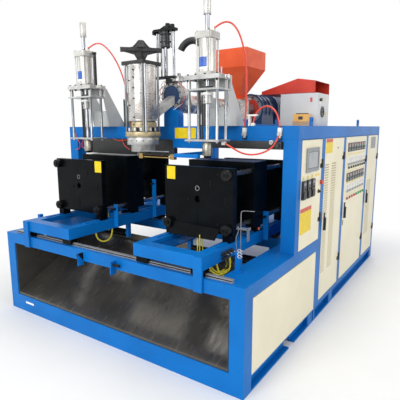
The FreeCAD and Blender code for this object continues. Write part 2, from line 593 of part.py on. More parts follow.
def make_carriage_cylinders():
    pieces = []
    for side in (-1, 1):
        centre = drive_line(side)
        endPlate = "rightSide - memberWidth - driveEndPlate"
        span = sided(side, "driveBarrelStart", endPlate)
        bore = sided(side, "driveBarrelStart - railWall", f"{endPlate} - coverThickness")
        barrel = cut(rod("X", "driveBarrelRadius", span, centre),
                     [rod("X", "driveRodRadius + boreGap", bore, centre)])
        plate = box(sided(side, endPlate, "rightSide - memberWidth"),
                    about(centre[0], "driveBarrelRadius + coverThickness"),
                    about(centre[1], "driveBarrelRadius"))
        pieces.append(join([barrel, plate]))
    node("carriage_cylinders", group(pieces))


def make_carriage(side, name):
    centre = f"{side} * stationOffset"
    x = about(centre, "carriageHalf")
    z = ("carriageBottom", "carriageTop")
    steel = [box(x, ("carriageFront", "carriageFront + tubeSize"), z),
             box(x, about("rearRailPlace", "tubeSize / 2"), z)]
    for end in (-1, 1):
        beamX = sided(end, "carriageHalf - tubeSize", "carriageHalf")
        steel.append(box([f"{centre} + {edge}" for edge in beamX], ("carriageFront", "carriageBack"), z))
    coverLeft = f"{centre} - carriageHalf + tubeSize"
    coverRight = f"{coverLeft} + rightCoverWidth" if side > 0 else f"{centre} + carriageHalf - tubeSize"
    steel.append(box((coverLeft, coverRight), ("carriageFront + tubeSize", "coverBack"),
                     ("carriageTop - coverSink - coverThickness", "carriageTop - coverSink")))
    legX = sided(side, "stationOffset + carriageHalf - legWidth", "stationOffset + carriageHalf")
    steel.append(box(legX, ("carriageFront - legThickness", "carriageFront"),
                     ("deckHeight - memberHeight", "carriageTop")))
    innerX = "stationOffset - carriageHalf + tubeSize / 2"
    lugX = sided(side, f"{innerX} - driveLugWidth / 2", f"{innerX} + driveLugWidth / 2")
    drive = drive_line(side)
    steel.append(box(lugX, about(drive[0], "driveLugWidth / 2"),
                     ("driveBarrelHeight - driveBarrelRadius", "carriageBottom")))
    rodEnd = "driveBarrelStart + carriageStroke + driveLugWidth / 2"
    steel.append(rod("X", "driveRodRadius", sided(side, f"{innerX} + driveLugWidth / 2", rodEnd),
                     drive))
    edge = f"{centre} + carriageHalf"
    brackets = {-1: (("shortBracketPlace", "shortBracketTop"), ("tallBracketPlace", "tallBracketTop")),
                1: (("outerBracketPlace", "outerBracketTop"),)}
    for spot, top in brackets[side]:
        plateY = about(spot, "coverThickness / 2")
        steel.append(box((edge, f"{edge} + bracketWidth"), plateY, ("carriageBottom + bracketRoot", top)))
        screw = (f"{edge} + bracketWidth / 2", f"{top} - adjusterDrop")
        steel.append(rod("Y", "adjusterRadius", (f"{plateY[0]} - adjusterReach",
                                                 f"{plateY[1]} + adjusterHeadLength"), screw))
        steel.append(rod("Y", "adjusterHead", (plateY[1], f"{plateY[1]} + adjusterHeadLength"), screw))
    node(f"{name}_carriage", join(steel))


def make_guides(side, name):
    centre = f"{side} * stationOffset"
    pieces = []
    for spot in ("frontSide + slideRailInset", "rearRailPlace"):
        for end in (-1, 1):
            x = about(f"{centre} + {end} * blockOffset", "blockHalfLength")
            block = box(x, about(spot, "blockHalfWidth"),
                        ("deckHeight + blockLift", "carriageBottom"))
            slot = box(x, about(spot, "slideRailWidth / 2 + runningGap"),
                       ("deckHeight", "deckHeight + slideRailHeight + runningGap"))
            pieces.append(cut(block, [slot]))
    for end in (-1, 1):
        x = about(f"{centre} + {end} * clampRailOffset", "clampRailWidth / 2")
        pieces.append(box(x, ("clampRailFront", "carriageBack"),
                          ("carriageTop", "carriageTop + clampRailHeight")))
    node(f"{name}_guides", group(pieces))


def tie_spots(side):
    """Three tie bars: the upper corner beside the die head stays free for the mould."""
    corners = ((side, "tieBarLow"), (side, "tieBarHigh"), (-side, "tieBarLow"))
    return [(f"{side} * stationOffset + {end} * tieBarOffset", f"platenBottom + {height}")
            for end, height in corners]


def shoes(centre, place_):
    pieces = []
    for end in (-1, 1):
        x = about(f"{centre} + {end} * clampRailOffset", "shoeWidth / 2")
        shoe = box(x, about(place_, "shoeLength / 2"),
                   ("carriageTop + shoeLift", "platenBottom"))
        slot = box(about(f"{centre} + {end} * clampRailOffset", "clampRailWidth / 2 + runningGap"),
                   about(place_, "shoeLength / 2 + faceGap"),
                   ("carriageTop", "carriageTop + clampRailHeight + runningGap"))
        pieces.append(cut(shoe, [slot]))
    return pieces


def make_clamp(side, name):
    centre = f"{side} * stationOffset"
    x = about(centre, "carriageHalf")
    axle = (centre, "platenBottom + platenHeight / 2")
    z = ("platenBottom", "platenBottom + platenHeight")

    frontY = ("frontPlatenPlace", "frontPlatenPlace + platenThickness")
    holes = [rod("Y", "tieBarRadius", frontY, spot) for spot in tie_spots(side)]
    holes.append(rod("Y", "platenHole", frontY, axle))
    frontPlaten = cut(box(x, frontY, z), holes)
    node(f"{name}_front_platen",
         join([frontPlaten] + shoes(centre, "frontPlatenPlace + platenThickness / 2")))

    rearY = ("rearPlatenPlace", "rearPlatenPlace + platenThickness")
    holes = [rod("Y", "tieBarRadius", rearY, spot) for spot in tie_spots(side)]
    holes.append(rod("Y", "clampRodRadius + boreGap", rearY, axle))
    rearPlaten = cut(box(x, rearY, z), holes)
    node(f"{name}_rear_platen",
         join([rearPlaten] + shoes(centre, "rearPlatenPlace + platenThickness / 2")))

    bars = []
    for spot in tie_spots(side):
        bar = rod("Y", "tieBarRadius", (f"{frontY[0]} - tieBarEnd", f"{rearY[1]} + tieBarEnd"), spot)
        nutSpans = ((f"{frontY[0]} - tieNutLength", frontY[0]), (rearY[1], f"{rearY[1]} + tieNutLength"))
        nuts = [rod("Y", "tieNutRadius", span, spot) for span in nutSpans]
        bars.append(join([bar] + nuts))
    node(f"{name}_tie_bars", group(bars))

    barrelEnd = f"{rearY[1]} + clampBarrelLength"
    barrel = rod("Y", "clampBarrelRadius", (rearY[1], barrelEnd), axle)
    chamber = [rod("Y", "clampBarrelRadius - clampBarrelWall",
                   (f"{rearY[1]} + clampBarrelWall", f"{barrelEnd} - clampBarrelWall"), axle),
               rod("Y", "clampRodRadius + boreGap", (rearY[1], f"{rearY[1]} + 2 * clampBarrelWall"),
                   axle)]
    node(f"{name}_clamp_cylinder", cut(barrel, chamber))

    face = "movingPlatenFace"
    rear = f"{face} + movingPlatenDepth"
    tall = ("platenBottom", "platenBottom + movingPlatenHeight")
    block = box(x, (face, rear), tall)
    pockets = []
    for low, high in (("platenBottom + movingPlatenWall",
                       "platenBottom + movingPlatenHeight / 2 - movingPlatenWall / 2"),
                      ("platenBottom + movingPlatenHeight / 2 + movingPlatenWall / 2",
                       "platenBottom + movingPlatenHeight - movingPlatenWall")):
        for end in (-1, 1):
            inner = sided(end, "movingPlatenWall", "carriageHalf - movingPlatenEdge")
            pockets.append(box([f"{centre} + {edge}" for edge in inner],
                               (f"{face} + movingPlatenWall", f"{rear} + faceGap"), (low, high)))
    pockets += [rod("Y", "tieBarRadius + boreGap", (face, rear), spot) for spot in tie_spots(side)]
    platen = cut(block, pockets)
    pistonFront = f"{rearY[1]} + clampBarrelWall + freeGap"
    clampRod = rod("Y", "clampRodRadius", (rear, f"{pistonFront} + clampPiston"), axle)
    piston = rod("Y", "clampBarrelRadius - clampBarrelWall - boreGap",
                 (pistonFront, f"{pistonFront} + clampPiston"), axle)
    middle = f"({face} + {rear}) / 2"
    node(f"{name}_moving_platen", join([platen, clampRod, piston] + shoes(centre, middle)))


def make_blow_units():
    plates, cylinders, brackets = [], [], []
    for side in (-1, 1):
        centre = f"{side} * stationOffset"
        axle = (centre, "blowPlace")
        x = about(centre, "blowPlateLength / 2")
        y = about("blowPlace", "blowPlateWidth / 2")
        levels = (("blowPlateBottom", "blowPlateBottom + blowPlateThickness"),
                  ("guidePlateBottom", "guidePlateBottom + blowPlateThickness"),
                  ("headPlateBottom", "headPlateBottom + headPlateThickness"))
        frame = [box(x, y, z) for z in levels]
        for signX in (-1, 1):
            for signY in (-1, 1):
                spot = (f"{centre} + {signX} * blowPostX", f"blowPlace + {signY} * blowPostY")
                frame.append(rod("Z", "blowPostRadius",
                                 (levels[0][0], levels[2][1]), spot))
        bore = rod("Z", "blowRodRadius + boreGap", (levels[0][0], levels[2][1]), axle)
        plates.append(cut(join(frame), [bore]))

        capZ = (levels[2][1], f"{levels[2][1]} + blowCapHeight")
        topZ = ("blowBarrelTop", "blowBarrelTop + blowTopCap")
        half = "blowCapSize / 2"
        cylinder = [tube("Z", "blowBarrelRadius", "blowBarrelRadius - blowBarrelWall",
                         (capZ[1], topZ[0]), axle)]
        for span in (capZ, topZ):
            cap = box(about(centre, half), about("blowPlace", half), span)
            corners = rod("Z", "blowCapCorner", span, axle)
            trimmed = doc.addObject("Part::MultiCommon", "Cap")
            trimmed.Shapes = [cap, corners]
            cylinder.append(trimmed)
        for signX in (-1, 1):
            for signY in (-1, 1):
                spot = (f"{centre} + {signX} * blowTieOffset", f"blowPlace + {signY} * blowTieOffset")
                cylinder.append(rod("Z", "blowTieRadius", (capZ[1], topZ[0]), spot))
        bores = [rod("Z", "blowRodRadius + boreGap", (capZ[0], topZ[1]), axle)]
        cylinders.append(cut(join(cylinder), bores))

        plateY = (y[1], f"{y[1]} + bracketPlate")
        width = about(centre, "bracketHalf")
        steel = [box(x, plateY, ("guidePlateBottom", levels[2][1])),
                 box(width, ("bracketPlace", "portalBack"), ("topHeight", "topHeight + seatPlate")),
                 box(width, ("bracketPlace", "bracketPlace + bracketPlate"), ("topHeight", "bracketFront"))]
        for end in (-1, 1):
            plateX = about(f"{centre} + {end} * (bracketHalf - gussetThickness / 2)", "gussetThickness / 2")
            # the gusset narrows upwards and leans forward, so it is a wedge stood on its end
            steel.append(wedge(("topHeight + seatPlate", "gussetTop"), plateX,
                               ("-(portalBack)", "-(bracketPlace)"), plateX,
                               (f"-({plateY[1]}) - gussetTopDepth", f"-({plateY[1]})"),
                               turn=Rotation(Vector(1, 0, 0), 90)))
        brackets.append(join(steel))
    node("blow_frames", group(plates))
    node("blow_cylinders", group(cylinders))
    node("blow_brackets", group(brackets))


def make_blow_pin(side, name):
    axle = (f"{side} * stationOffset", "blowPlace")
    pieces = [rod("Z", "blowRodRadius", ("pinTop", "blowRodTop"), axle),
              rod("Z", "sleeveRadius", ("blowRodTop", "sleeveTop"), axle),
              rod("Z", "pinRadius", ("pinBottom + pinCutter", "pinTop"), axle),
              rod("Z", "pinTipRadius", ("pinBottom", "pinBottom + pinCutter"), axle),
              rod("Z", "blowBarrelRadius - blowBarrelWall - boreGap",
                  ("blowBarrelTop - freeGap - pistonHeight", "blowBarrelTop - freeGap"), axle)]
    node(f"{name}_blow_pin", join(pieces))


def make_die_head():
    axle = (0, "headPlace")
    rings = [("nozzleRadius", "nozzleBottom", "nozzleTop"),
             ("dieRingRadius", "nozzleTop", "dieRingTop"),
             ("neckRadius", "dieRingTop", "headBottom"),
             ("clampRingRadius", "clampRingBottom", "clampRingTop"),
             ("headRadius", "headBottom", "headTop")]
    outer = join([rod("Z", radius, (low, high), axle) for radius, low, high in rings])
    gap = rod("Z", "parisonRadius", ("nozzleBottom", "headBottom"), axle)
    mandrel = join([rod("Z", "mandrelRadius", ("nozzleBottom", "nozzleTop"), axle),
                    rod("Z", "mandrelRadius / 2", ("nozzleTop", "headBottom"), axle)])
    node("die_head", group([cut(outer, [gap]), mandrel]))


def make_head_yoke():
    axle = (0, "headPlace")
    plateTop = "headTop + yokePlateThickness"
    plate = box(about(0, "yokePlateHalf"), about("headPlace", "yokePlateHalf"), ("headTop", plateTop))
    neck = box(about(0, "yokeNeckHalf"), about("headPlace", "yokeNeckHalf"), (plateTop, "yokeNeckTop"))
    # the bar lies across, from the left tie to the right one
    bar = box(about(0, "yokeBarHalf"), about(0, "yokeBarDepth"), ("yokeNeckTop", "yokeBarTop"))
    bar.Placement = Placement(Vector(), Rotation(Vector(0, 0, 1), 45))
    share = sqrt(0.5)
    place(bar, (f"(yokeBarDepth - yokeBarHalf) * {share}",
                f"headPlace - (yokeBarHalf + yokeBarDepth) * {share}", "yokeNeckTop"))
    hub = cone("Z", "yokeHubRadius", "yokeHubRadius / 3", ("yokeBarTop", "yokeHubTop"), axle)
    ties = []
    for signX in (-1, 1):
        for signY in (-1, 1):
            spot = (f"{signX} * headTieOffset", f"headPlace + {signY} * headTieOffset")
            ties.append(rod("Z", "headTieRadius", ("clampRingTop", plateTop), spot))
    node("head_yoke", join([plate, neck, bar, hub] + ties))


def make_programmer():
    """The programmer stands on the drum; the cable duct beside it stands on the portal beam."""
    baseZ = ("programmerBaseBottom", "programmerBaseBottom + programmerBase")
    width = about("programmerShift", "programmerPostX + 2 * programmerPostRadius")
    depth = about("programmerPlace", "3 * programmerPostRadius")
    foot = cut(box(about("drumShift", "programmerFootHalf"), about("programmerPlace", "2 * programmerPostRadius"),
                   ("drumHeight", baseZ[0])),
               [rod("Y", "drumRadius", ("drumPlace - drumLength", "drumPlace + 2 * drumLength"),
                    ("drumShift", "drumHeight"))])
    headZ = ("programmerTop - programmerHead", "programmerTop")
    pieces = [box(width, depth, baseZ), foot, box(width, depth, headZ)]
    for side in (-1, 1):
        pieces.append(rod("Z", "programmerPostRadius", (baseZ[1], headZ[0]),
                          (f"programmerShift + {side} * programmerPostX", "programmerPlace")))
    pieces.append(rod("Z", "programmerRodRadius", (baseZ[1], headZ[0]), ("programmerShift", "programmerPlace")))
    arch = doc.addObject("Part::Torus", "Arch")
    arch.setExpression("Radius1", bound("ductRadius"))
    arch.setExpression("Radius2", bound("ductTube"))
    arch.Angle3 = 150
    arch.Placement = Placement(Vector(), Rotation(Vector(1, 0, 0), 90))
    place(arch, ("ductPlace - ductRadius", "programmerPlace", "ductHeight"))
    leg = rod("Z", "ductTube", ("topHeight", "ductHeight"), ("ductPlace", "programmerPlace"))
    flange = rod("Z", "ductFlange", ("topHeight", "topHeight + railWall"), ("ductPlace", "programmerPlace"))
    node("programmer", group([join(pieces), join([arch, leg, flange])]))


def make_melt_path():
    drumY = ("drumPlace", "drumPlace + drumLength")
    drum = rod("Y", "drumRadius", drumY, ("drumShift", "drumHeight"))
    x = ("-adapterHalf", "adapterHalf")
    adapter = wedge(("headPlace + headRadius", "drumPlace"), x, about("adapterLow", "adapterHalf"),
                    about("drumShift", "adapterHalf"), about("drumHeight - adapterHalf", "adapterHalf"))
    gate = rod("Y", "heaterBandRadius", ("drumPlace + drumLength", "barrelFront"), (0, "barrelHeight"))
    node("melt_adapter", group([adapter, drum, gate]))
    pedestalY = ("drumPlace - pedestalReach", "drumPlace + pedestalDepth")
    pedestal = cut(join([box(about("drumShift", "pedestalHalf"), pedestalY, ("topHeight", "pedestalShoulder")),
                         rod("Y", "pedestalHalf", pedestalY, ("drumShift", "pedestalShoulder"))]),
                   [rod("Y", "drumRadius", drumY, ("drumShift", "drumHeight"))])
    base = box(("-standHalf", "standHalf"), ("standFront", "gearboxBack + couplingGap + motorLength"),
               ("topHeight", "topHeight + standThickness"))
    pads = [box(about(0, "feedHalf"), about("feedPlace", "feedHalf"),
                ("topHeight + standThickness", "feedBottom")),
            box(about(0, "motorBaseHalf"), ("gearboxBack + couplingGap", "gearboxBack + motorLength"),
                ("topHeight + standThickness", "motorBaseTop"))]
    motorY = ("gearboxBack + couplingGap", "gearboxBack + couplingGap + motorLength")
    stand = cut(join([base] + pads), [rod("Y", "motorRadius", motorY, (0, "barrelHeight"))])
    node("extruder_stand", group([pedestal, stand]))


def make_extruder():
    axle = (0, "barrelHeight")
    barrelY = ("barrelFront", "gearboxFront")
    shell = [rod("Y", "barrelRadius", barrelY, axle)]
    for number in range(6):
        start = f"firstHeaterBand + {number} * heaterBandPitch"
        shell.append(rod("Y", "heaterBandRadius", (start, f"{start} + heaterBandLength"), axle))
    shell.append(box(about(0, "feedHalf"), about("feedPlace", "feedHalf"), ("feedBottom", "feedTop")))
    bores = [rod("Y", "screwRadius", barrelY, axle),
             rod("Z", "throatRadius", ("barrelHeight", "feedTop"), (0, "feedPlace"))]
    node("extruder_barrel", cut(join(shell), bores))
    screw = [rod("Y", "screwRoot", ("screwFront", "gearboxFront + feedHalf"), axle)]
    for number in range(9):
        start = f"screwFront + freeGap + {number} * (gearboxFront - screwFront) / 9"
        screw.append(rod("Y", "screwRadius - boreGap", (start, f"{start} + screwRoot / 2"), axle))
    screw.append(rod("Y", "screwRadius - boreGap", ("gearboxFront - feedHalf", "gearboxFront + feedHalf"),
                     axle))
    node("extruder_screw", join(screw))

    gearY = ("gearboxFront", "gearboxBack")
    case = [rod("Y", "gearboxRadius - gearboxRib", gearY, axle),
            box(about(0, "gearboxFootHalf"), gearY, ("topHeight + standThickness", "barrelHeight"))]
    spacing = "(gearboxBack - gearboxFront - gearboxRib) / (gearboxRibs - 1)"
    for number in range(int(size("gearboxRibs"))):
        start = f"gearboxFront + {number} * {spacing}"
        case.append(rod("Y", "gearboxRadius", (start, f"{start} + gearboxRib"), axle))
    gear = cut(join(case),
               [rod("Y", "screwRadius", ("gearboxFront", "gearboxFront + feedHalf + faceGap"), axle),
                rod("Y", "shaftRadius + boreGap", ("gearboxBack - shaftReach - faceGap", "gearboxBack"),
                    axle)])
    node("gearbox", gear)
    motorY = ("gearboxBack + couplingGap", "gearboxBack + couplingGap + motorLength")
    hubY = ("gearboxBack + runningGap", f"{motorY[0]} - runningGap")
    node("shaft_coupling",
         join([rod("Y", "couplingHub", hubY, axle),
               rod("Y", "couplingRadius", (f"{hubY[0]} + couplingHub / 3", f"{hubY[1]} - couplingHub / 3"),
                   axle),
               rod("Y", "shaftRadius", ("gearboxBack - shaftReach", f"{motorY[0]} + shaftReach"), axle)]))
    body = [rod("Y", "motorRadius - motorFinHeight", motorY, axle)]
    for number in range(int(size("motorFins"))):
        start = f"{motorY[0]} + {number} * motorLength / motorFins"
        body.append(rod("Y", "motorRadius", (start, f"{start} + motorLength / motorFins / 2"), axle))
    shaftHole = rod("Y", "shaftRadius + boreGap", (motorY[0], f"{motorY[0]} + shaftReach + faceGap"), axle)
    node("drive_motor", cut(join(body), [shaftHole]))


def funnel(low, high, wall, z):
    """The four sloping walls of a square funnel stage about the hopper's axis, as separate plates."""
    turn = Rotation(Vector(1, 0, 0), 90)
    spot = (0, "feedPlace", 0)
    plates = []
    for side in (-1, 1):
        first = sided(side, f"{low} - {wall}", low)
        last = sided(side, f"{high} - {wall}", high)
        plates.append(wedge(z, first, about(0, low), last, about(0, high), spot, turn))
        plates.append(wedge(z, about(0, f"{low} - {wall}"), first,
                            about(0, f"{high} - {wall}"), last, spot, turn))
    return plates


def make_hopper():
    flangeTop = "feedTop + 4 * gateThickness"
    flangeZ = ("feedTop", flangeTop)
    walls = (funnel("hopperOutlet", "hopperHalf", "hopperWall", (flangeTop, "hopperShoulder"))
             + funnel("hopperHalf", "hopperHalf", "hopperWall", ("hopperShoulder", "hopperTop")))
    gateZ = ("feedTop + gateThickness", "feedTop + 2 * gateThickness")
    slot = box(("-throatRadius - 3 * runningGap - gateThickness", "2 * feedHalf"),
               about("feedPlace", "throatRadius + gateThickness + runningGap"),
               (f"{gateZ[0]} - runningGap", f"{gateZ[1]} + runningGap"))
    flange = cut(box(about(0, "feedHalf"), about("feedPlace", "feedHalf"), flangeZ),
                 [rod("Z", "throatRadius", flangeZ, (0, "feedPlace")), slot])
    node("hopper", group(walls + [flange]))
    plate = box(("-throatRadius - gateThickness", "gateLength - throatRadius"),
                about("feedPlace", "throatRadius + gateThickness"), gateZ)
    pull = box(("gateLength - throatRadius - gateThickness", "gateLength - throatRadius"),
               about("feedPlace", "throatRadius"),
               ("feedTop - gateThickness", flangeTop))
    node("hopper_gate", join([plate, pull]))


def make_hood():
    """A sloping sheet cover with an open right end, on two legs that stand on a cross beam."""
    turn = Rotation(Vector(0, 0, 1), -90)
    depth = ("-(hoodBack)", "-(hoodFront)")
    inside = ("-(hoodBack) + hoodWall", "-(hoodFront) - hoodWall")
    outer, inner = [], []
    for x, first, last in ((("hoodLeft", "hoodRidge"), "hoodLeftTop", "hoodRidgeTop"),
                           (("hoodRidge", "hoodRight"), "hoodRidgeTop", "hoodRightTop")):
        outer.append(wedge(x, depth, ("hoodBottom", first), depth, ("hoodBottom", last), turn=turn))
        start = f"{x[0]} + hoodWall" if x[0] == "hoodLeft" else x[0]
        inner.append(wedge((start, x[1]), inside, ("hoodBottom + hoodWall", f"{first} - hoodWall"),
                           inside, ("hoodBottom + hoodWall", f"{last} - hoodWall"), turn=turn))
    legs = [box((f"hoodLeft + {inset}", f"hoodLeft + {inset} + hoodLegWidth"),
                about("rearLugPlace - crossBeam", "hoodLegWidth / 2"), ("topHeight", "hoodBottom"))
            for inset in ("hoodFirstLeg", "hoodSecondLeg")]
    node("motor_hood", join([cut(join(outer), [join(inner)])] + legs))


def make_top_boxes():
    x = ("boxLeft", "boxRight")
    y = ("boxFront", "boxBack")
    housing = box(x, y, ("topHeight", "topHeight + boxHeight"))
    switch = box(about("boxRight - boxKnobInset", "boxSwitchWidth / 2"),
                 ("boxFront - boxSwitchDepth", "boxFront"),
                 about("topHeight + boxKnobHeight", "boxSwitchHeight / 2"))
    knob = rod("X", "boxKnobRadius", ("boxRight", "boxRight + boxKnobDepth"),
               ("boxFront + boxKnobInset", "topHeight + boxKnobHeight"))
    node("control_box", join([housing, switch, knob]))
    y = about("lubricatorPlace", "lubricatorDepth / 2")
    reservoir = box(("lubricatorLeft", "lubricatorRight"), y,
                    ("topHeight", "topHeight + lubricatorHeight / 2"))
    cap = box(("lubricatorLeft + cabinetWall", "lubricatorRight - cabinetWall"), y,
              ("topHeight + lubricatorHeight / 2", "topHeight + lubricatorHeight"))
    node("lubricator", join([reservoir, cap]))


def make_knife():
    armX = ("knifeArmLeft", "knifeArmLeft + knifeArmWidth")
    armZ = ("knifeArmBottom", "knifeArmTop")
    blockY = about("knifeBarPlace", "knifeArmWidth / 2")
    steel = [box(armX, (blockY[0], "portalFront"), armZ),
             box(armX, ("portalFront - 2 * hangerThickness", "portalFront + knifeArmWidth"),
                 ("knifeArmBottom", "portalUnderside")),
             box((armX[1], "knifeActuator"), blockY, armZ),
             box(("hangerLeft", armX[1]), ("portalFront - hangerThickness", "portalFront"),
                 ("hangerBottom", "portalUnderside + hangerThickness"))]
    node("knife_carrier", join(steel))
    clampX = ("knifeClampLeft", "knifeArmLeft - runningGap")
    clampZ = ("knifeTubeHeight - 2 * knifeTubeRadius", "knifeArmTop - knifeTubeRadius")
    moving = [box(clampX, blockY, clampZ),
              rod("X", "knifeTubeRadius", ("knifeBladeLeft", "knifeClampLeft"),
                  ("knifeBarPlace", "knifeTubeHeight")),
              box(("knifeBladeLeft", "knifeClampLeft"), about("knifeBarPlace", "knifeArmWidth / 3"),
                  ("knifeBladeHeight", "knifeBladeHeight + knifeBlade")),
              box(("knifeBladeLeft - knifeArmWidth", "knifeBladeLeft"), blockY, clampZ)]
    node("hot_knife", join(moving))


def make_fittings():
    half = "fittingSize / 2"
    pieces = []
    for x in ("leftFitting", "middleFitting", "rightFitting"):
        pieces.append(box(about(x, half), ("portalFront - fittingSize", "portalFront"),
                          ("fittingBottom", "fittingTop")))
    pieces.append(box(about("topFitting", half), ("portalFront + freeGap", "portalFront + fittingSize"),
                      ("topHeight", "topHeight + topFittingHeight")))
    capTop = "blowBarrelTop + blowTopCap"
    for side in (-1, 1):
        start = f"{side} * stationOffset + capFitting"
        pieces.append(box((start, f"{start} + fittingSize"), about("blowPlace", half),
                          (capTop, f"{capTop} + capFittingHeight")))
    start = "stationOffset + pinFitting"
    pieces.append(box((start, f"{start} + fittingSize"), about("blowPlace + fittingSize", half),
                      ("blowPlateBottom - fittingSize", "blowPlateBottom")))
    node("hose_fittings", group(pieces))


# Hose routes: points chosen by hand along each hose, from end to end. Their Y counts from the
# plane that lies routeSetback behind the front.
hoses = {
    "red_hose_right_cap": ("airHoseRadius", [
        (798, -1435, 2655), (845, -1412, 2695), (905, -1370, 2700), (945, -1320, 2640),
        (962, -1270, 2540), (968, -1230, 2420), (965, -1205, 2280), (955, -1187, 2140),
        (942, -1168, 2005), (922, -1146, 1885)]),
    "red_hose_left_cap": ("airHoseRadius", [
        (-662, -1435, 2655), (-615, -1412, 2695), (-550, -1375, 2700), (-495, -1335, 2645),
        (-450, -1290, 2555), (-415, -1250, 2440), (-395, -1215, 2300), (-388, -1190, 2150),
        (-395, -1168, 2010), (-410, -1146, 1885)]),
    "red_hose_beam": ("airHoseRadius", [
        (985, -1112, 1925), (998, -1108, 1990), (1044, -1105, 2045), (1112, -1110, 2066),
        (1180, -1122, 2035), (1228, -1135, 1965), (1246, -1146, 1885)]),
    "red_hose_right_pin": ("airHoseRadius", [
        (885, -1405, 1758), (950, -1395, 1720), (1020, -1350, 1675), (1090, -1290, 1665),
        (1165, -1225, 1690), (1225, -1170, 1750), (1246, -1147, 1850)]),
    "yellow_hose_left": ("dripHoseRadius", [
        (-415, -1670, 884), (-415, -1664, 835), (-405, -1632, 793), (-395, -1585, 775),
        (-395, -1535, 775), (-405, -1488, 793), (-415, -1456, 835), (-415, -1450, 884)]),
    "yellow_hose_right": ("dripHoseRadius", [
        (1045, -1790, 884), (1050, -1783, 815), (1080, -1735, 765), (1105, -1665, 738),
        (1105, -1585, 738), (1080, -1515, 765), (1050, -1467, 815), (1045, -1460, 884)]),
}


def hose_path(points):
    """Straight runs joined by tangent arcs, each as large as its two runs allow."""
    spots = [Vector(*point) for point in points]
    edges = []
    radii = []
    start = spots[0]
    for before, corner, after in zip(spots, spots[1:], spots[2:]):
        inward = (before - corner).normalize()
        outward = (after - corner).normalize()
        reach = 0.45 * min(corner.distanceToPoint(before), corner.distanceToPoint(after))
        turn = Vector(inward * -1).getAngle(outward)
        radii.append(reach / tan(turn / 2))
        first = corner + inward * reach
        last = corner + outward * reach
        bisector = (inward + outward).normalize()
        radius = radii[-1]
        depth = (radius ** 2 + reach ** 2) ** 0.5 - radius
        edges.append(Part.LineSegment(start, first).toShape())
        edges.append(Part.Arc(first, corner + bisector * depth, last).toShape())
        start = last
    edges.append(Part.LineSegment(start, spots[-1]).toShape())
    return Part.Wire(edges), radii


def make_hose(label, radius, points):
    path, radii = hose_path(points)
    start = Vector(*points[0])
    heading = Vector(*points[1]) - start
    ring = Part.Wire([Part.Circle(start, heading, size(radius)).toShape()])
    hose = doc.addObject("Part::Feature", "Hose")
    hose.Shape = path.makePipeShell([ring], True, False)
    place(hose, (0, "frontSide + routeSetback", 0))
    share = hose.Shape.Volume / (3.14159265 * size(radius) ** 2 * path.Length)
    print(f"{label}: length {path.Length:.0f}, least radius {min(radii):.0f}, volume ratio {share:.4f}")
    node(label, hose)


make_base_frame()
make_chute()
make_top_frame()
make_cabinet()
make_side_panel()
for door in doors:
    make_door(door)
for door in handles:
    make_handle(door)
make_screen_panel()
make_emergency_stop()
make_instruments()
make_slide_rails()
make_carriage_cylinders()
for side, name in ((-1, "left"), (1, "right")):
    make_carriage(side, name)
    make_guides(side, name)
    make_clamp(side, name)
    make_blow_pin(side, name)
make_blow_units()
make_die_head()
make_head_yoke()
make_programmer()
make_melt_path()
make_extruder()
make_hopper()
make_hood()
make_top_boxes()
make_knife()
make_fittings()
for label, (radius, points) in hoses.items():
    make_hose(label, radius, points)

doc.recompute()
for thing in doc.Objects:
    if {"Invalid", "Error"} & set(thing.State):
        raise RuntimeError(f"{thing.Name} ({thing.Label}) failed: {thing.State}")
os.makedirs("parts", exist_ok=True)
for part in nodes:
    if part.Shape.isNull() or not part.Shape.isValid():
        raise RuntimeError(f"{part.Label} has no valid shape")
    part.Shape.exportStep(f"parts/{part.Label}.step")
    print(part.Label, len(part.Shape.Solids), round(part.Shape.Volume / 1e6, 3))
print(len(nodes), "sub-parts")
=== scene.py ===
import bpy
import bmesh
import math
from mathutils import Matrix, Vector


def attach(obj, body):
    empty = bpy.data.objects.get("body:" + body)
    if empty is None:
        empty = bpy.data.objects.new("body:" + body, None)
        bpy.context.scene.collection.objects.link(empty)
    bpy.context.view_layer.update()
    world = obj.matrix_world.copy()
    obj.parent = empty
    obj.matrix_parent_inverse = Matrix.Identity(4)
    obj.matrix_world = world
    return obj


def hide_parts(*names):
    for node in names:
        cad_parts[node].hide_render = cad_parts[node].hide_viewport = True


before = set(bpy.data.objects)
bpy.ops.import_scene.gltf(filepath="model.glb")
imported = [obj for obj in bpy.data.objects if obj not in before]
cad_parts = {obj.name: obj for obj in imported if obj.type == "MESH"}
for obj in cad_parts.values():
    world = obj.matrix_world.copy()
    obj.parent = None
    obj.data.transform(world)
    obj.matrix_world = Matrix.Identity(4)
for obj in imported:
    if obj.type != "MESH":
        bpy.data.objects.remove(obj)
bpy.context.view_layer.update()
scene = bpy.context.scene
print("frame loaded")

# the photograph's camera: place, heading and lens
camera = {"place": (2.6059, -4.3053, 1.8838), "yaw": 34.21, "pitch": -9.98, "roll": -0.147, "lens": 36.86}
shot = bpy.data.objects.new("camera", bpy.data.cameras.new("camera"))
scene.collection.objects.link(shot)
shot.data.lens = camera["lens"]
shot.data.sensor_width = 36
shot.data.clip_end = 100
shot.location = camera["place"]
turn = (Matrix.Rotation(math.radians(camera["yaw"]), 3, "Z")
        @ Matrix.Rotation(math.radians(90 + camera["pitch"]), 3, "X")
        @ Matrix.Rotation(math.radians(camera["roll"]), 3, "Z"))
shot.rotation_euler = turn.to_euler()
scene.camera = shot


def linear(code):  # an sRGB hex value as a linear colour
    parts = [int(code[i:i + 2], 16) / 255 for i in (1, 3, 5)]
    return tuple(c / 12.92 if c <= 0.04045 else ((c + 0.055) / 1.055) ** 2.4 for c in parts) + (1,)


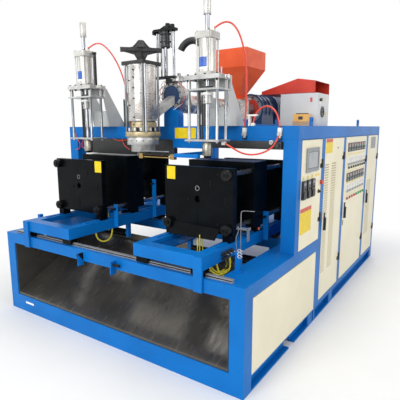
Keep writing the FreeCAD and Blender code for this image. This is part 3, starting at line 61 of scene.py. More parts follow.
def addNode(tree, kind, inputs=None, **settings):
    node = tree.nodes.new("ShaderNode" + kind)
    for key, value in settings.items():
        setattr(node, key, value)
    for key, value in (inputs or {}).items():
        if isinstance(value, bpy.types.NodeSocket):
            tree.links.new(value, node.inputs[key])
        else:
            node.inputs[key].default_value = value
    return node


finishes = {}


def makeFinish(name, colour, shade, patchMm=260, grainMm=2.5, stretch=(1, 1, 1), rough=(0.3, 0.4),
               bump=0.0, depthMm=0.1, metal=0.0, gloss=0.5, coat=0.0):
    material = bpy.data.materials.new(name)
    material.use_nodes = True
    material.diffuse_color = linear(colour)
    tree = material.node_tree
    tree.nodes.clear()
    where = addNode(tree, "TexCoord").outputs["Object"]
    along = addNode(tree, "Mapping", {"Vector": where, "Scale": stretch})
    patches = addNode(tree, "TexNoise", {"Vector": where, "Scale": 1000 / patchMm, "Detail": 4})
    grain = addNode(tree, "TexNoise", {"Vector": along.outputs[0], "Scale": 1000 / grainMm, "Detail": 2})
    share = addNode(tree, "MapRange", {0: patches.outputs["Fac"], "From Min": 0.38, "From Max": 0.66})
    tint = addNode(tree, "Mix", {0: share.outputs[0], 6: linear(colour), 7: linear(shade)}, data_type="RGBA")
    spread = addNode(tree, "MapRange", {0: grain.outputs["Fac"], "From Min": 0.3, "From Max": 0.7,
                                        "To Min": rough[0], "To Max": rough[1]})
    settings = {"Base Color": tint.outputs[2], "Roughness": spread.outputs[0], "Metallic": metal,
                "Specular IOR Level": gloss, "Coat Weight": coat}
    if bump:
        relief = addNode(tree, "Bump", {"Height": grain.outputs["Fac"], "Strength": bump,
                                        "Distance": depthMm / 1000})
        settings["Normal"] = relief.outputs[0]
    surface = addNode(tree, "BsdfPrincipled", settings)
    addNode(tree, "OutputMaterial", {"Surface": surface.outputs[0]})
    finishes[name] = material
    return material


# sprayed enamel: strong even blue with a faint orange peel, a little darker where it has dulled
makeFinish("blueEnamel", "#0A70C0", "#0866B2", 420, 7, rough=(0.26, 0.4), bump=0.12, gloss=0.12)
# the same enamel, dull, painted darker as the shade inside the carriages' sunken cover plates
makeFinish("shadedBlueEnamel", "#064C8C", "#053F76", 120, 7, rough=(0.35, 0.5), bump=0.12, gloss=0.12)
# powder-coated sheet: even and satin
makeFinish("creamEnamel", "#EFE8CF", "#E8E0C5", 520, 4, rough=(0.36, 0.5), bump=0.08, gloss=0.3)
# the same coat in the shade of a louvre
makeFinish("creamShade", "#C2B99B", "#B6AD8E", 60, 3, rough=(0.5, 0.6), gloss=0.1)
# black enamel on machined plate: deep black, glossy only at a slant, with hazy rubbed patches
makeFinish("blackEnamel", "#04070A", "#0B0F12", 180, 5, rough=(0.16, 0.36), bump=0.1, gloss=0.08)
# oil-blackened bolts and nuts: dark, slightly metallic, satin
makeFinish("blackOxide", "#0B0C0D", "#161718", 40, 1.5, rough=(0.3, 0.45), metal=0.3, gloss=0.25)
# blackened steel with a worn sheen
makeFinish("darkSteel", "#2E2F31", "#48494C", 30, 1.5, rough=(0.3, 0.45), metal=0.8)
# grey-green bracket paint, painted darker as the shade on the bracket behind the beam: flat and dusty
makeFinish("shadedSlateEnamel", "#4F5A59", "#434D4C", 160, 5, rough=(0.4, 0.55), bump=0.1, gloss=0.2)
# rough black casting: matt with a pebbled skin
makeFinish("blackCasting", "#2B2B2D", "#3A3A3B", 25, 2.5, rough=(0.45, 0.65), bump=0.5, depthMm=0.4, gloss=0.3)
# tinted polished sheet on the chute: dark and mirror-like, with dust and scuffs
makeFinish("darkSheet", "#4C4A47", "#5E5A53", 340, 30, (1, 0.25, 0.25), rough=(0.1, 0.3), bump=0.08,
           depthMm=0.3, metal=0.5)
# hard chrome, ground and polished: a mirror
makeFinish("hardChrome", "#9FA2A6", "#85888C", 120, 3, rough=(0.08, 0.18), metal=0.9)
# surface-ground steel: fine straight lines
makeFinish("groundSteel", "#B4B4B2", "#9E9E9C", 90, 2, (0.1, 1, 1), rough=(0.3, 0.44), bump=0.03, metal=0.6)
# drawn and anodised aluminium: pale, soft sheen, lines along the tube
makeFinish("anodisedAluminium", "#C4C3BE", "#B2B1AC", 150, 2.5, (1, 1, 0.08), rough=(0.3, 0.42), bump=0.04,
           metal=0.6)
# milled aluminium plates: bright, with a fine tool pattern
makeFinish("milledAluminium", "#BEBFBC", "#A4A5A3", 80, 3, (1, 0.15, 1), rough=(0.26, 0.4), bump=0.06,
           metal=0.7)
# rolled stainless band over the heaters: brushed round the drum
makeFinish("brushedStainless", "#CBC6C1", "#A5A09B", 90, 4, (0.12, 0.12, 1), rough=(0.2, 0.36), bump=0.1,
           depthMm=0.08, metal=0.7)
# turned steel heated many times: straw and grey
makeFinish("heatedSteel", "#948B7E", "#6F675D", 50, 3, (0.2, 0.2, 1), rough=(0.25, 0.42), bump=0.08, metal=1.0)
# bronze-coloured band, baked dull
makeFinish("bakedBronze", "#B4A684", "#9C8F70", 45, 2, rough=(0.35, 0.5), bump=0.05, metal=0.55)
# rolled brass: warm and lightly tarnished
makeFinish("brass", "#B79A63", "#9C8352", 60, 2, rough=(0.2, 0.35), metal=1.0)
# turned steel, grey with handling
makeFinish("dullSteel", "#A9A698", "#8F8C80", 60, 2.5, (1, 1, 0.2), rough=(0.3, 0.42), bump=0.05, metal=0.85)
# pale grey enamel on the brackets: even, with a light texture
makeFinish("paleEnamel", "#C9CCCB", "#BBBFBF", 200, 4, rough=(0.35, 0.5), bump=0.08)
# light grey powder coat on the box: finely pebbled
makeFinish("greyEnamel", "#D2D3D4", "#C9CACC", 260, 3, rough=(0.4, 0.55), bump=0.1, gloss=0.3)
# orange and orange-red enamel on folded sheet: bright and smooth
makeFinish("orangeEnamel", "#EE663A", "#E2572E", 240, 6, rough=(0.3, 0.46), bump=0.1, gloss=0.2)
makeFinish("redEnamel", "#DC4634", "#CB3B2B", 240, 6, rough=(0.3, 0.46), bump=0.1, gloss=0.3)
# navy enamel on ribbed cast iron: the casting's skin shows through
makeFinish("castBlue", "#1C3F6B", "#16335A", 60, 3, rough=(0.35, 0.5), bump=0.3, depthMm=0.3)
# moulded plastics: soft sheen with a fine texture
makeFinish("amberPlastic", "#F0B357", "#E6A548", 60, 1, rough=(0.3, 0.4))
makeFinish("blackPlastic", "#17181A", "#202124", 40, 1, rough=(0.35, 0.5), bump=0.1)
makeFinish("greyPlastic", "#8F9396", "#84888C", 50, 1, rough=(0.35, 0.5), bump=0.1)
makeFinish("whitePlastic", "#ECEBE6", "#E0DFD9", 50, 1, rough=(0.3, 0.42))
makeFinish("redPlastic", "#D3211C", "#BF1B17", 30, 1, rough=(0.22, 0.32))
makeFinish("greenPlastic", "#23A455", "#1C9249", 30, 1, rough=(0.22, 0.32))
makeFinish("orangePlastic", "#F06A2E", "#E45F25", 30, 1, rough=(0.22, 0.32))
# glass over an unlit grey display, and over a dark one: sharp reflections
makeFinish("displayGlass", "#8C9195", "#7D8387", 90, 3, rough=(0.06, 0.12), coat=0.6)
makeFinish("darkGlass", "#1F2426", "#2A3032", 30, 2, rough=(0.06, 0.14), coat=0.5)
# printed film labels with no print: plain satin fields
makeFinish("yellowFilm", "#ECD02C", "#E2C524", 40, 2, rough=(0.3, 0.42), gloss=0.2)
makeFinish("redFilm", "#CF4630", "#C03C28", 40, 2, rough=(0.3, 0.42))
makeFinish("blueFilm", "#2C5FB8", "#2553A8", 40, 2, rough=(0.3, 0.42))
makeFinish("whiteFilm", "#F1F1EE", "#E6E6E2", 40, 2, rough=(0.35, 0.45))
# extruded polyurethane hose: glossy and even
makeFinish("redHose", "#E0452F", "#D03A26", 50, 2, rough=(0.22, 0.34), coat=0.2)
makeFinish("yellowHose", "#DCD23C", "#CDC22E", 50, 2, rough=(0.25, 0.38))
# painted shade: flat near-black marks that stand in for the dark inside holes, slots, grooves and seams
makeFinish("holeShade", "#040405", "#070708", 30, 2, rough=(0.7, 0.9), gloss=0.05)
print("finishes made")


def outlineOf(low, high, radius=0.0, steps=4):  # a rectangle with rounded corners, as (u, v) points
    if radius <= 0:
        return [(low[0], low[1]), (high[0], low[1]), (high[0], high[1]), (low[0], high[1])]
    points = []
    corners = ((high[0] - radius, low[1] + radius, -90), (high[0] - radius, high[1] - radius, 0),
               (low[0] + radius, high[1] - radius, 90), (low[0] + radius, low[1] + radius, 180))
    for u, v, start in corners:
        for step in range(steps + 1):
            angle = math.radians(start + 90 * step / steps)
            points.append((u + radius * math.cos(angle), v + radius * math.sin(angle)))
    return points


def ngon(centre, radius, sides, start=0.0):  # points spread evenly on a circle
    return [(centre[0] + radius * math.cos(start + math.tau * i / sides),
             centre[1] + radius * math.sin(start + math.tau * i / sides)) for i in range(sides)]


def corners(centre, u, v):  # the four points at these distances from the centre
    return [(centre[0] + i * u, centre[1] + j * v) for i in (-1, 1) for j in (-1, 1)]


def onRound(centre, radius, degrees):
    return (centre[0] + radius * math.cos(math.radians(degrees)),
            centre[1] + radius * math.sin(math.radians(degrees)))


def spotOn(axis, u, v, height):
    spot = [u, v]
    spot.insert("XYZ".index(axis), height)
    return spot


def addHull(mesh, low, high):  # a solid between two faces with equally many corners
    ends = [[mesh.verts.new(spot) for spot in face] for face in (low, high)]
    mesh.faces.new(ends[0][::-1])
    mesh.faces.new(ends[1])
    for i in range(len(low)):
        j = (i + 1) % len(low)
        mesh.faces.new((ends[0][i], ends[0][j], ends[1][j], ends[1][i]))


def addPrism(mesh, axis, outline, low, high):
    addHull(mesh, *[[spotOn(axis, u, v, height) for u, v in outline] for height in (low, high)])


def addSlanted(mesh, centre, degrees, outline, half):  # an upright plate that stands at an angle in plan
    along = Vector((math.cos(math.radians(degrees)), math.sin(math.radians(degrees)), 0))
    across = Vector((-along.y, along.x, 0)) * half
    addHull(mesh, *[[Vector((*centre, z)) + along * u + across * side for u, z in outline] for side in (-1, 1)])


def addTurned(mesh, axis, centre, profile, sides=24, hollow=False):
    rings = []
    for height, radius in profile:
        if radius < 1e-6:
            rings.append([mesh.verts.new(spotOn(axis, centre[0], centre[1], height))])
        else:
            rings.append([mesh.verts.new(spotOn(axis, u, v, height)) for u, v in ngon(centre, radius, sides)])
    pairs = list(zip(rings, rings[1:])) + ([(rings[-1], rings[0])] if hollow else [])
    for first, last in pairs:
        for i in range(sides):
            j = (i + 1) % sides
            if len(first) == 1:
                mesh.faces.new((first[0], last[i], last[j]))
            elif len(last) == 1:
                mesh.faces.new((first[i], first[j], last[0]))
            else:
                mesh.faces.new((first[i], first[j], last[j], last[i]))
    if not hollow:
        for end in (rings[0], rings[-1]):
            if len(end) > 1:
                mesh.faces.new(end)


builders = {"prism": addPrism, "turned": addTurned, "hull": addHull, "slanted": addSlanted}


def block(x, y, z, radius=0.0, axis="Z"):  # a box by its three spans, with rounded edges along one axis
    spans = [x, y, z]
    low, high = spans.pop("XYZ".index(axis))
    return ("prism", axis, outlineOf((spans[0][0], spans[1][0]), (spans[0][1], spans[1][1]), radius), low, high)


def disc(axis, centre, radius, low, high, sides=24):
    return ("turned", axis, centre, [(low, radius), (high, radius)], sides)


def ring(axis, centre, outer, inner, low, high, sides=32):
    return ("turned", axis, centre, [(low, inner), (low, outer), (high, outer), (high, inner)], sides, True)


def arcPatch(centre, inner, outer, start, end, low, high, steps=10):  # a curved plate round an upright axis
    turns = [start + (end - start) * step / steps for step in range(steps + 1)]
    outline = [onRound(centre, outer, a) for a in turns] + [onRound(centre, inner, a) for a in reversed(turns)]
    return ("prism", "Z", outline, low, high)


def capBolts(axis, spots, base, outward, radius):  # heads of socket cap screws on their washers
    h = radius * 1.1 * outward
    profile = [(base, 0), (base, radius * 1.35), (base + h * 0.15, radius * 1.35), (base + h * 0.16, radius),
               (base + h, radius * 0.92), (base + h, radius * 0.5), (base + h * 0.45, radius * 0.5),
               (base + h * 0.45, 0)]
    return [("turned", axis, spot, profile, 12) for spot in spots]


def hexNut(axis, centre, base, outward, radius, height):  # a nut on its washer, with the stud's end
    top = base + height * outward
    skirt = base + 0.0015 * outward
    return [disc(axis, centre, radius * 1.2, base, skirt, 16),
            ("prism", axis, ngon(centre, radius, 6, math.pi / 6), skirt, top),
            ("turned", axis, centre, [(top, radius * 0.55), (top + radius * 0.3 * outward, radius * 0.5),
                                      (top + radius * 0.35 * outward, 0)], 12)]


def softenEdges(thing, width, degrees):
    edge = thing.modifiers.new("edges", "BEVEL")
    edge.width = width
    edge.segments = 2
    edge.limit_method = "ANGLE"
    edge.angle_limit = math.radians(degrees)
    return edge


def finishMesh(name, mesh, bevel):
    bmesh.ops.recalc_face_normals(mesh, faces=mesh.faces)
    data = bpy.data.meshes.new(name)
    mesh.to_mesh(data)
    mesh.free()
    for face in data.polygons:
        face.use_smooth = True
    data.set_sharp_from_angle(angle=math.radians(35))
    thing = bpy.data.objects.new(name, data)
    scene.collection.objects.link(thing)
    if bevel:
        softenEdges(thing, bevel, 40)
    return thing


def piece(name, body, parts, bevel=0.0008, stands=()):  # parts: {finish: [shapes]}
    mesh = bmesh.new()
    count = 0
    for index, shapes in enumerate(parts.values()):
        for shape in shapes:
            builders[shape[0]](mesh, *shape[1:])
        mesh.faces.ensure_lookup_table()
        for face in mesh.faces[count:]:
            face.material_index = index
        count = len(mesh.faces)
    thing = finishMesh(name, mesh, bevel)
    for finish in parts:
        thing.data.materials.append(finishes[finish])
    if stands:
        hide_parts(*stands)
    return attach(thing, body)


def wire(name, body, finish, radius, routes, order=3):  # smooth round wires or pipes through given points
    curve = bpy.data.curves.new(name, "CURVE")
    curve.dimensions = "3D"
    curve.bevel_depth = radius
    curve.bevel_resolution = 4
    curve.resolution_u = 8
    curve.use_fill_caps = True
    for route in routes:
        line = curve.splines.new("NURBS")
        line.points.add(len(route) - 1)
        for point, spot in zip(line.points, route):
            point.co = (*spot, 1)
        line.order_u = min(order, len(route))
        line.use_endpoint_u = True
    thing = bpy.data.objects.new(name, curve)
    scene.collection.objects.link(thing)
    curve.materials.append(finishes[finish])
    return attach(thing, body)


# hoses first: body, finish, radius, length and the same route as the solid's, in metres
hoses = {
    "red_hose_right_cap": ("frame", "redHose", 0.007, 1.004, [
        (0.798, -1.435, 2.655), (0.845, -1.412, 2.695), (0.905, -1.37, 2.7), (0.945, -1.32, 2.64),
        (0.962, -1.27, 2.54), (0.968, -1.23, 2.42), (0.965, -1.205, 2.28), (0.955, -1.187, 2.14),
        (0.942, -1.168, 2.005), (0.922, -1.146, 1.885)]),
    "red_hose_left_cap": ("frame", "redHose", 0.007, 1.026, [
        (-0.662, -1.435, 2.655), (-0.615, -1.412, 2.695), (-0.55, -1.375, 2.7), (-0.495, -1.335, 2.645),
        (-0.45, -1.29, 2.555), (-0.415, -1.25, 2.44), (-0.395, -1.215, 2.3), (-0.388, -1.19, 2.15),
        (-0.395, -1.168, 2.01), (-0.41, -1.146, 1.885)]),
    "red_hose_beam": ("frame", "redHose", 0.007, 0.445, [
        (0.985, -1.112, 1.925), (0.998, -1.108, 1.99), (1.044, -1.105, 2.045), (1.112, -1.11, 2.066),
        (1.18, -1.122, 2.035), (1.228, -1.135, 1.965), (1.246, -1.146, 1.885)]),
    "red_hose_right_pin": ("frame", "redHose", 0.007, 0.564, [
        (0.885, -1.405, 1.758), (0.95, -1.395, 1.72), (1.02, -1.35, 1.675), (1.09, -1.29, 1.665),
        (1.165, -1.225, 1.69), (1.225, -1.17, 1.75), (1.246, -1.147, 1.85)]),
    "yellow_hose_left": ("left_carriage", "yellowHose", 0.008, 0.353, [
        (-0.415, -1.67, 0.884), (-0.415, -1.664, 0.835), (-0.405, -1.632, 0.793), (-0.395, -1.585, 0.775),
        (-0.395, -1.535, 0.775), (-0.405, -1.488, 0.793), (-0.415, -1.456, 0.835), (-0.415, -1.45, 0.884)]),
    "yellow_hose_right": ("right_carriage", "yellowHose", 0.008, 0.518, [
        (1.045, -1.79, 0.884), (1.05, -1.783, 0.815), (1.08, -1.735, 0.765), (1.105, -1.665, 0.738),
        (1.105, -1.585, 0.738), (1.08, -1.515, 0.765), (1.05, -1.467, 0.815), (1.045, -1.46, 0.884)]),
}
for name, (body, finish, radius, length, route) in hoses.items():
    hose = wire(name + "_line", body, finish, radius, [route])
    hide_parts(name)
print("hoses laid")

stations = {"left": -0.73, "right": 0.73}

nodeFinishes = {
    "blueEnamel": ["base_frame", "top_frame", "cabinet_shell", "extruder_stand", "knife_carrier"],
    "creamEnamel": ["side_panel", "hmi_door", "drive_door", "control_door", "rear_door"],
    "blackPlastic": ["drive_door_handle", "control_door_handle", "rear_door_handle", "control_instruments"],
    "blackEnamel": ["carriage_cylinders"], "blackCasting": ["head_yoke"], "darkSheet": ["discharge_chute"],
    "groundSteel": ["melt_adapter", "hopper_gate"], "hardChrome": ["programmer", "extruder_screw"],
    "brushedStainless": ["die_head", "extruder_barrel"], "brass": ["hot_knife"],
    "milledAluminium": ["blow_frames"], "anodisedAluminium": ["blow_cylinders"],
    "castBlue": ["gearbox", "drive_motor"], "redEnamel": ["shaft_coupling", "motor_hood"],
    "orangeEnamel": ["hopper"], "paleEnamel": ["blow_brackets"], "greyEnamel": ["control_box"],
    "redPlastic": ["emergency_stop"], "amberPlastic": ["lubricator"], "whitePlastic": ["hose_fittings"],
    "greyPlastic": ["operator_panel"],
}
for side in stations:
    nodeFinishes["blueEnamel"] += [side + "_carriage"]
    nodeFinishes["hardChrome"] += [side + "_tie_bars", side + "_blow_pin"]
    nodeFinishes["blackEnamel"] += [side + end for end in ("_guides", "_front_platen", "_rear_platen",
                                                           "_moving_platen", "_clamp_cylinder")]
for finish, names in nodeFinishes.items():
    for name in names:
        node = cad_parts[name]
        node.data.materials.clear()
        node.data.materials.append(finishes[finish])
        node.modifiers.new("weld", "WELD").merge_threshold = 0.00002
        softenEdges(node, 0.0025 if finish == "blueEnamel" else 0.0015, 50).harden_normals = True

# faces of a solid inside these spans (x, y, z, in metres) take another finish
wide = (-9, 9)
doorRears = {"hmi_door": -0.52, "drive_door": 0.205, "control_door": 1.25, "rear_door": 1.925}
zones = [
    ("base_frame", "blackOxide", [((0.1925, 0.262), (-2.06, -2.0), (0.74, 0.81)),
                                  ((-0.262, -0.1925), (-2.06, -2.0), (0.74, 0.81))]),
    ("programmer", "blackPlastic", [((0.15, 0.52), (-1.13, -1.03), wide)]),
    ("programmer", "blackCasting", [((-0.12, 0.148), wide, (2.25, 2.3755))]),
    ("programmer", "blackOxide", [((-0.12, 0.148), wide, (2.787, 2.82))]),
    ("die_head", "groundSteel", [(wide, wide, (1.6, 1.8075))]),
    ("die_head", "bakedBronze", [(wide, wide, (1.8076, 1.8505))]),
    ("die_head", "heatedSteel", [(wide, wide, (1.851, 1.9475))]),
    ("head_yoke", "hardChrome", [((x - 0.014, x + 0.014), wide, (1.8505, 2.436)) for x in (-0.1035, 0.1035)]),
    ("melt_adapter", "castBlue", [(wide, (-1.092, -1.0895), (2.05, 2.33))]),
    ("melt_adapter", "groundSteel", [(wide, (-1.0894, -0.9905), (2.05, 2.33))]),
    ("blow_frames", "hardChrome", [(wide, wide, (1.8, 2.17))]),
    ("blow_frames", "blackOxide", [(wide, wide, (2.2, 2.262))]),
    ("cabinet_shell", "blackPlastic", [((1.4003, 1.43), wide, wide)]),
    ("control_box", "redPlastic", [(wide, (-0.53, -0.5005), wide)]),
    ("control_box", "blackPlastic", [((1.3305, 1.37), wide, wide)]),
    ("left_carriage", "blackOxide", [((-0.386, -0.352), span, (z - 0.017, z + 0.017))
                                     for y, z in ((-1.435, 1.084), (-0.842, 1.275))
                                     for span in ((y - 0.07, y - 0.0005), (y + 0.0105, y + 0.03))]),
    # the carriages' sunken cover plates take the blue enamel painted dark as shade
    ("left_carriage", "shadedBlueEnamel", [((-0.99, -0.47), (-1.9, -1.5), (0.94, 0.955))]),
    ("right_carriage", "shadedBlueEnamel", [((0.47, 0.66), (-1.9, -1.5), (0.94, 0.955))]),
    ("right_carriage", "blackOxide", [((1.074, 1.108), span, (1.092, 1.126))
                                      for span in ((-1.105, -1.0355), (-1.0245, -1.005))]),
]
for door, rear in doorRears.items():
    zones.append((door, "blackPlastic", [((1.4004, 1.43), (rear - 0.04, rear + 0.02), wide)]))
for side in stations:
    zones += [(side + "_tie_bars", "blackOxide", [(wide, (-1.6306, -1.5845), wide)]),
              (side + "_tie_bars", "blackOxide", [(wide, (-1.66, -1.6306), wide)]),
              (side + "_guides", "blueEnamel", [(wide, wide, (0.984, 1.0))]),
              (side + "_blow_pin", "dullSteel", [(wide, wide, (1.6565, 1.78))]),
              (side + "_blow_pin", "blackOxide", [(wide, wide, (1.6, 1.6564))]),
              (side + "_blow_pin", "anodisedAluminium", [(wide, wide, (2.7655, 3.0))])]
for name, finish, spans in zones:
    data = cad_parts[name].data
    data.materials.append(finishes[finish])
    for face in data.polygons:
        if any(all(low <= at <= high for at, (low, high) in zip(face.center, span)) for span in spans):
            face.material_index = len(data.materials) - 1
print("CAD nodes finished")

# grooved linear rails on the deck, with their counterbored bolts; grooves and counterbores are painted shade
rail = {"half": 0.015, "base": 0.824, "start": -1.28, "runs": ((-1.945, 1.28), (-0.65, 1.1)),
        "steps": ((1, 0), (1, 0.006), (0.62, 0.01), (0.62, 0.014), (1, 0.018), (1, 0.024)),
        "boltsCm": (-124, 16), "boltRadius": 0.0055}
half, base = rail["half"], rail["base"]
rails = {"groundSteel": [], "holeShade": []}
for centre, end in rail["runs"]:
    outline = [(centre + half * u, base + v) for u, v in rail["steps"]]
    outline += [(centre - half * u, base + v) for u, v in reversed(rail["steps"])]
    rails["groundSteel"].append(("prism", "X", outline, rail["start"], end))
    rails["holeShade"] += [block((rail["start"] + 0.002, end - 0.002), span, (base + 0.0104, base + 0.0136))
                          for span in ((centre - 0.0147, centre - 0.0094), (centre + 0.0094, centre + 0.0147))]
    rails["holeShade"] += [disc("Z", (x / 100, centre), rail["boltRadius"], base + 0.0238, base + 0.0242, 12)
                          for x in range(rail["boltsCm"][0], int(end * 100), rail["boltsCm"][1])]
piece("slide_rail_profiles", "frame", rails, 0.0004, ["slide_rails"])

# plain plates on the frame's front, dark trunking under the beam and a bracket behind it, painted slate-dark as
# shade
beamFace = -1.13
beamUnder = 1.787
sillFront = -2.0
piece("frame_labels", "frame", {
    "yellowFilm": [block((0.157, 0.404), (beamFace - 0.0012, beamFace), (1.786, 1.885), 0.003, "Y")],
    "whiteFilm": [block((-1.157, -1.022), (sillFront - 0.0012, sillFront), (0.091, 0.112), 0.002, "Y")],
    "blackPlastic": [block((0.36, 1.2735), (-1.125, -1.065), (1.705, beamUnder), 0.004, "X"),
                     block((-1.05, 0.14), (-1.12, -1.07), (1.61, beamUnder), 0.004, "X")],
    "shadedSlateEnamel": [("prism", "Y", [(-0.605, 1.9), (-0.34, 1.9), (-0.34, 2.13), (-0.36, 2.135), (-0.4, 2.12),
                                    (-0.5, 2.105), (-0.535, 2.108), (-0.565, 2.122), (-0.59, 2.15),
                                    (-0.605, 2.19)], -1.04, -1.02)],
}, 0.0003)
wire("beam_leads", "frame", "redHose", 0.004, [
    [(-1.28, -1.134, 1.83), (-1.27, -1.16, 1.79), (-1.2, -1.165, 1.74), (-1.19, -1.16, 1.68),
     (-1.24, -1.15, 1.64), (-1.3, -1.134, 1.64)],
    [(-1.1, -1.134, 1.82), (-1.09, -1.16, 1.78), (-1.14, -1.165, 1.74), (-1.17, -1.16, 1.69),
     (-1.14, -1.15, 1.65), (-1.06, -1.125, 1.65)],
    [(-0.56, -1.122, 1.77), (-0.53, -1.135, 1.72), (-0.5, -1.135, 1.69), (-0.45, -1.122, 1.66)],
    [(-0.7, -1.122, 1.775), (-0.62, -1.136, 1.75), (-0.5, -1.136, 1.755), (-0.42, -1.122, 1.775)],
])

# rods, chain and nut on the right key post
key = {"spot": (1.222, -1.742), "nut": (0.984, 0.992), "links": (0.995, 0.972, 0.95)}
keyX, keyY = key["spot"]
wire("key_post_rods", "frame", "hardChrome", 0.0028, [
    [(x, keyY, z) for x, z in ((keyX, 0.984), (keyX, 1.1), (keyX, 1.262), (1.224, 1.29), (1.25, 1.296),
                               (1.33, 1.3))],
    [(x, keyY, z) for x, z in ((1.19, 0.984), (1.184, 1.04), (1.182, 1.09), (1.198, 1.12), (1.206, 1.165),
                               (1.196, 1.175), (1.188, 1.15))],
])
wire("key_post_chain", "frame", "groundSteel", 0.0035, [
    [(keyX + 0.02 * math.cos(a), keyY - 0.01 - 0.006 * math.sin(a * 2), z + 0.012 * math.sin(a))
     for a in (0, 1.1, 2.2, 3.3, 4.4, 5.5, 6.6)] for z in key["links"]])
piece("key_post_nut", "frame", {"groundSteel": [disc("Z", key["spot"], 0.009, *key["nut"], 6)]}, 0.0006)

# fittings of the compressed-air line on the beam
valveSpots = (0.922, 1.246)
valves = {"greyPlastic": [disc("Y", (1.175, 1.765), 0.011, -1.165, -1.16, 20)],
          "groundSteel": [], "blackPlastic": [], "whitePlastic": []}
for x in valveSpots:
    valves["groundSteel"] += [block((x - 0.02, x + 0.02), (-1.163, beamFace), (1.818, 1.85), 0.003, "Z"),
                              disc("Y", (x, 1.834), 0.011, -1.175, -1.163, 16),
                              disc("Z", (x, -1.146), 0.012, 1.8, 1.818, 6)]
    valves["blackPlastic"] += [block((x - 0.016, x + 0.016), (-1.16, beamFace), (beamUnder, 1.8), 0.003, "Z"),
                               ring("Z", (x, -1.145), 0.013, 0.0075, 1.885, 1.895, 20)]
valves["blackPlastic"] += [block((1.205, 1.268), (-1.165, -1.1255), (1.708, 1.772), 0.005, "Y"),
                           disc("Y", (1.236, 1.74), 0.02, -1.185, -1.165, 24)]
valves["whitePlastic"] += [disc("Y", (1.175, 1.765), 0.017, -1.16, -1.125, 24),
                           block((0.955, 0.967), (-1.15, -1.108), (1.9, 1.98), 0.003, "Z"),
                           block((0.92, 1.03), (-1.15, -1.108), (1.98, 1.996), 0.003, "Y")]
piece("beam_valves", "frame", valves, 0.0008)
print("frame dressed")

# blow units: plain fields and bolts on the cylinder, sleeves, nuts and stay rods, and the rod's clamp
unit = {"y": -1.435, "bolts": (-0.137, -0.061, 0.027, 0.14), "boltY": 0.079, "posts": (0.135, 0.067),
        "capBolts": (0.058, 0.058), "capTop": 2.63, "plateTop": 2.3, "postEnd": 1.775,
        "sleeve": (2.1955, 2.2645), "field": (2.362, 2.437), "strip": (2.344, 2.361)}
unitY = unit["y"]
for side, station in stations.items():
    centre = (station, unitY)
    front = [(station + shift, unitY - unit["boltY"]) for shift in unit["bolts"]]
    rear = [(x, unitY + unit["boltY"]) for x, y in front]
    posts = corners(centre, *unit["posts"])
    piece(side + "_cylinder_trim", "frame", {
        "blueFilm": [arcPatch(centre, 0.0702, 0.0718, -122, -62, *unit["field"])],
        "whiteFilm": [arcPatch(centre, 0.0702, 0.0717, -122, -62, *unit["strip"])],
        "blackOxide": capBolts("Z", corners(centre, *unit["capBolts"]), unit["capTop"], 1, 0.007)}, 0.0003)
    hub = (unitY + 0.01, 2.283)
    trim = {
        "blackOxide": capBolts("Z", front + rear, unit["plateTop"], 1, 0.009)
                      + [disc("Z", spot, 0.011, 2.25, 2.2645, 6) for spot in front],
        "hardChrome": [disc("Z", (station + 0.15, unitY - 0.03), 0.006, 2.3, 2.352, 12)],
        "whitePlastic": [disc("X", hub, 0.0155, station + 0.165, station + 0.198, 24)],
        "blackPlastic": [ring("Z", centre, 0.046, 0.034, 2.1955, 2.215, 32),
                         disc("X", hub, 0.0175, station + 0.183, station + 0.188, 24)]
                        + [disc("Z", (station + shift, unitY + 0.012), 0.008, 1.7905, 2.1795, 16)
                           for shift in (-0.058, -0.082)],
        "groundSteel": [ring("Z", post, 0.017, 0.0128, *unit["sleeve"], 24) for post in posts],
    }
    for post in posts:
        trim["groundSteel"] += hexNut("Z", post, unit["postEnd"], -1, 0.013, 0.009)
    if side == "left":  # its position scale
        deep = (unitY + 0.03, unitY + 0.05)
        trim["greyPlastic"] = [block((station + 0.084, station + 0.094), deep, (2.3, 2.6))]
        trim["blackPlastic"] += [block((station + 0.104, station + 0.116), deep, (2.3, 2.62)),
                                 block((station + 0.07, station + 0.122), deep, (2.6, 2.62))]
    piece(side + "_blow_unit_trim", "frame", trim, 0.0005)
    piece(side + "_rod_clamp", side + "_blow_pin", {
        "whitePlastic": [ring("Z", centre, 0.05, 0.0125, 2.146, 2.166, 36)],
        "groundSteel": [ring("Z", centre, 0.038, 0.0125, 2.078, 2.146, 32)],
        "blackOxide": [disc("Y", (station, z), 0.005, unitY - 0.043, unitY - 0.0375, 12)
                       for z in (2.095, 2.128)],
    }, 0.0015)

# die head: bands, strap and screws
head = (0.0, -1.41)
bands = {"seam": (2.1835, 2.1865), "strap": (1.955, 2.432), "rings": ((2.424, 2.4375), (1.949, 1.962)),
         "whitePads": (-88, -60, -20, 10), "blackPads": (-76, -45, -5), "ringBolts": (0.142, 12),
         "screws": ((-82, 2.39), (-82, 2.327), (-82, 2.237), (-82, 2.145), (-82, 1.979), (-106, 2.3),
                    (-106, 2.086), (-84, 1.915), (-50, 1.915))}
piece("head_bands", "frame", {
    # the seam between the bands is a ring of painted shade
    "holeShade": [ring("Z", head, 0.1311, 0.13, *bands["seam"], 64)],
    "groundSteel": [arcPatch(head, 0.1303, 0.1325, -106, -82, *bands["strap"])]
                   + [ring("Z", head, 0.1325, 0.1303, *span, 64) for span in bands["rings"]],
    "bakedBronze": [arcPatch(head, 0.118, 0.1335, -97, 25, 1.893, 1.936, 24)],
    "whitePlastic": [arcPatch(head, 0.118, 0.1285, a, a + 9, 1.858, 1.888, 4) for a in bands["whitePads"]],
    "blackOxide": [arcPatch(head, 0.118, 0.1255, a, a + 12, 1.852, 1.888, 4) for a in bands["blackPads"]]
                  + [disc("Z", spot, 0.008, 1.85, 1.858, 16) for spot in ngon(head, *bands["ringBolts"])],
}, 0.0008)
studs = [(angle, z, 0.131, 0.144) for angle, z in bands["screws"]]
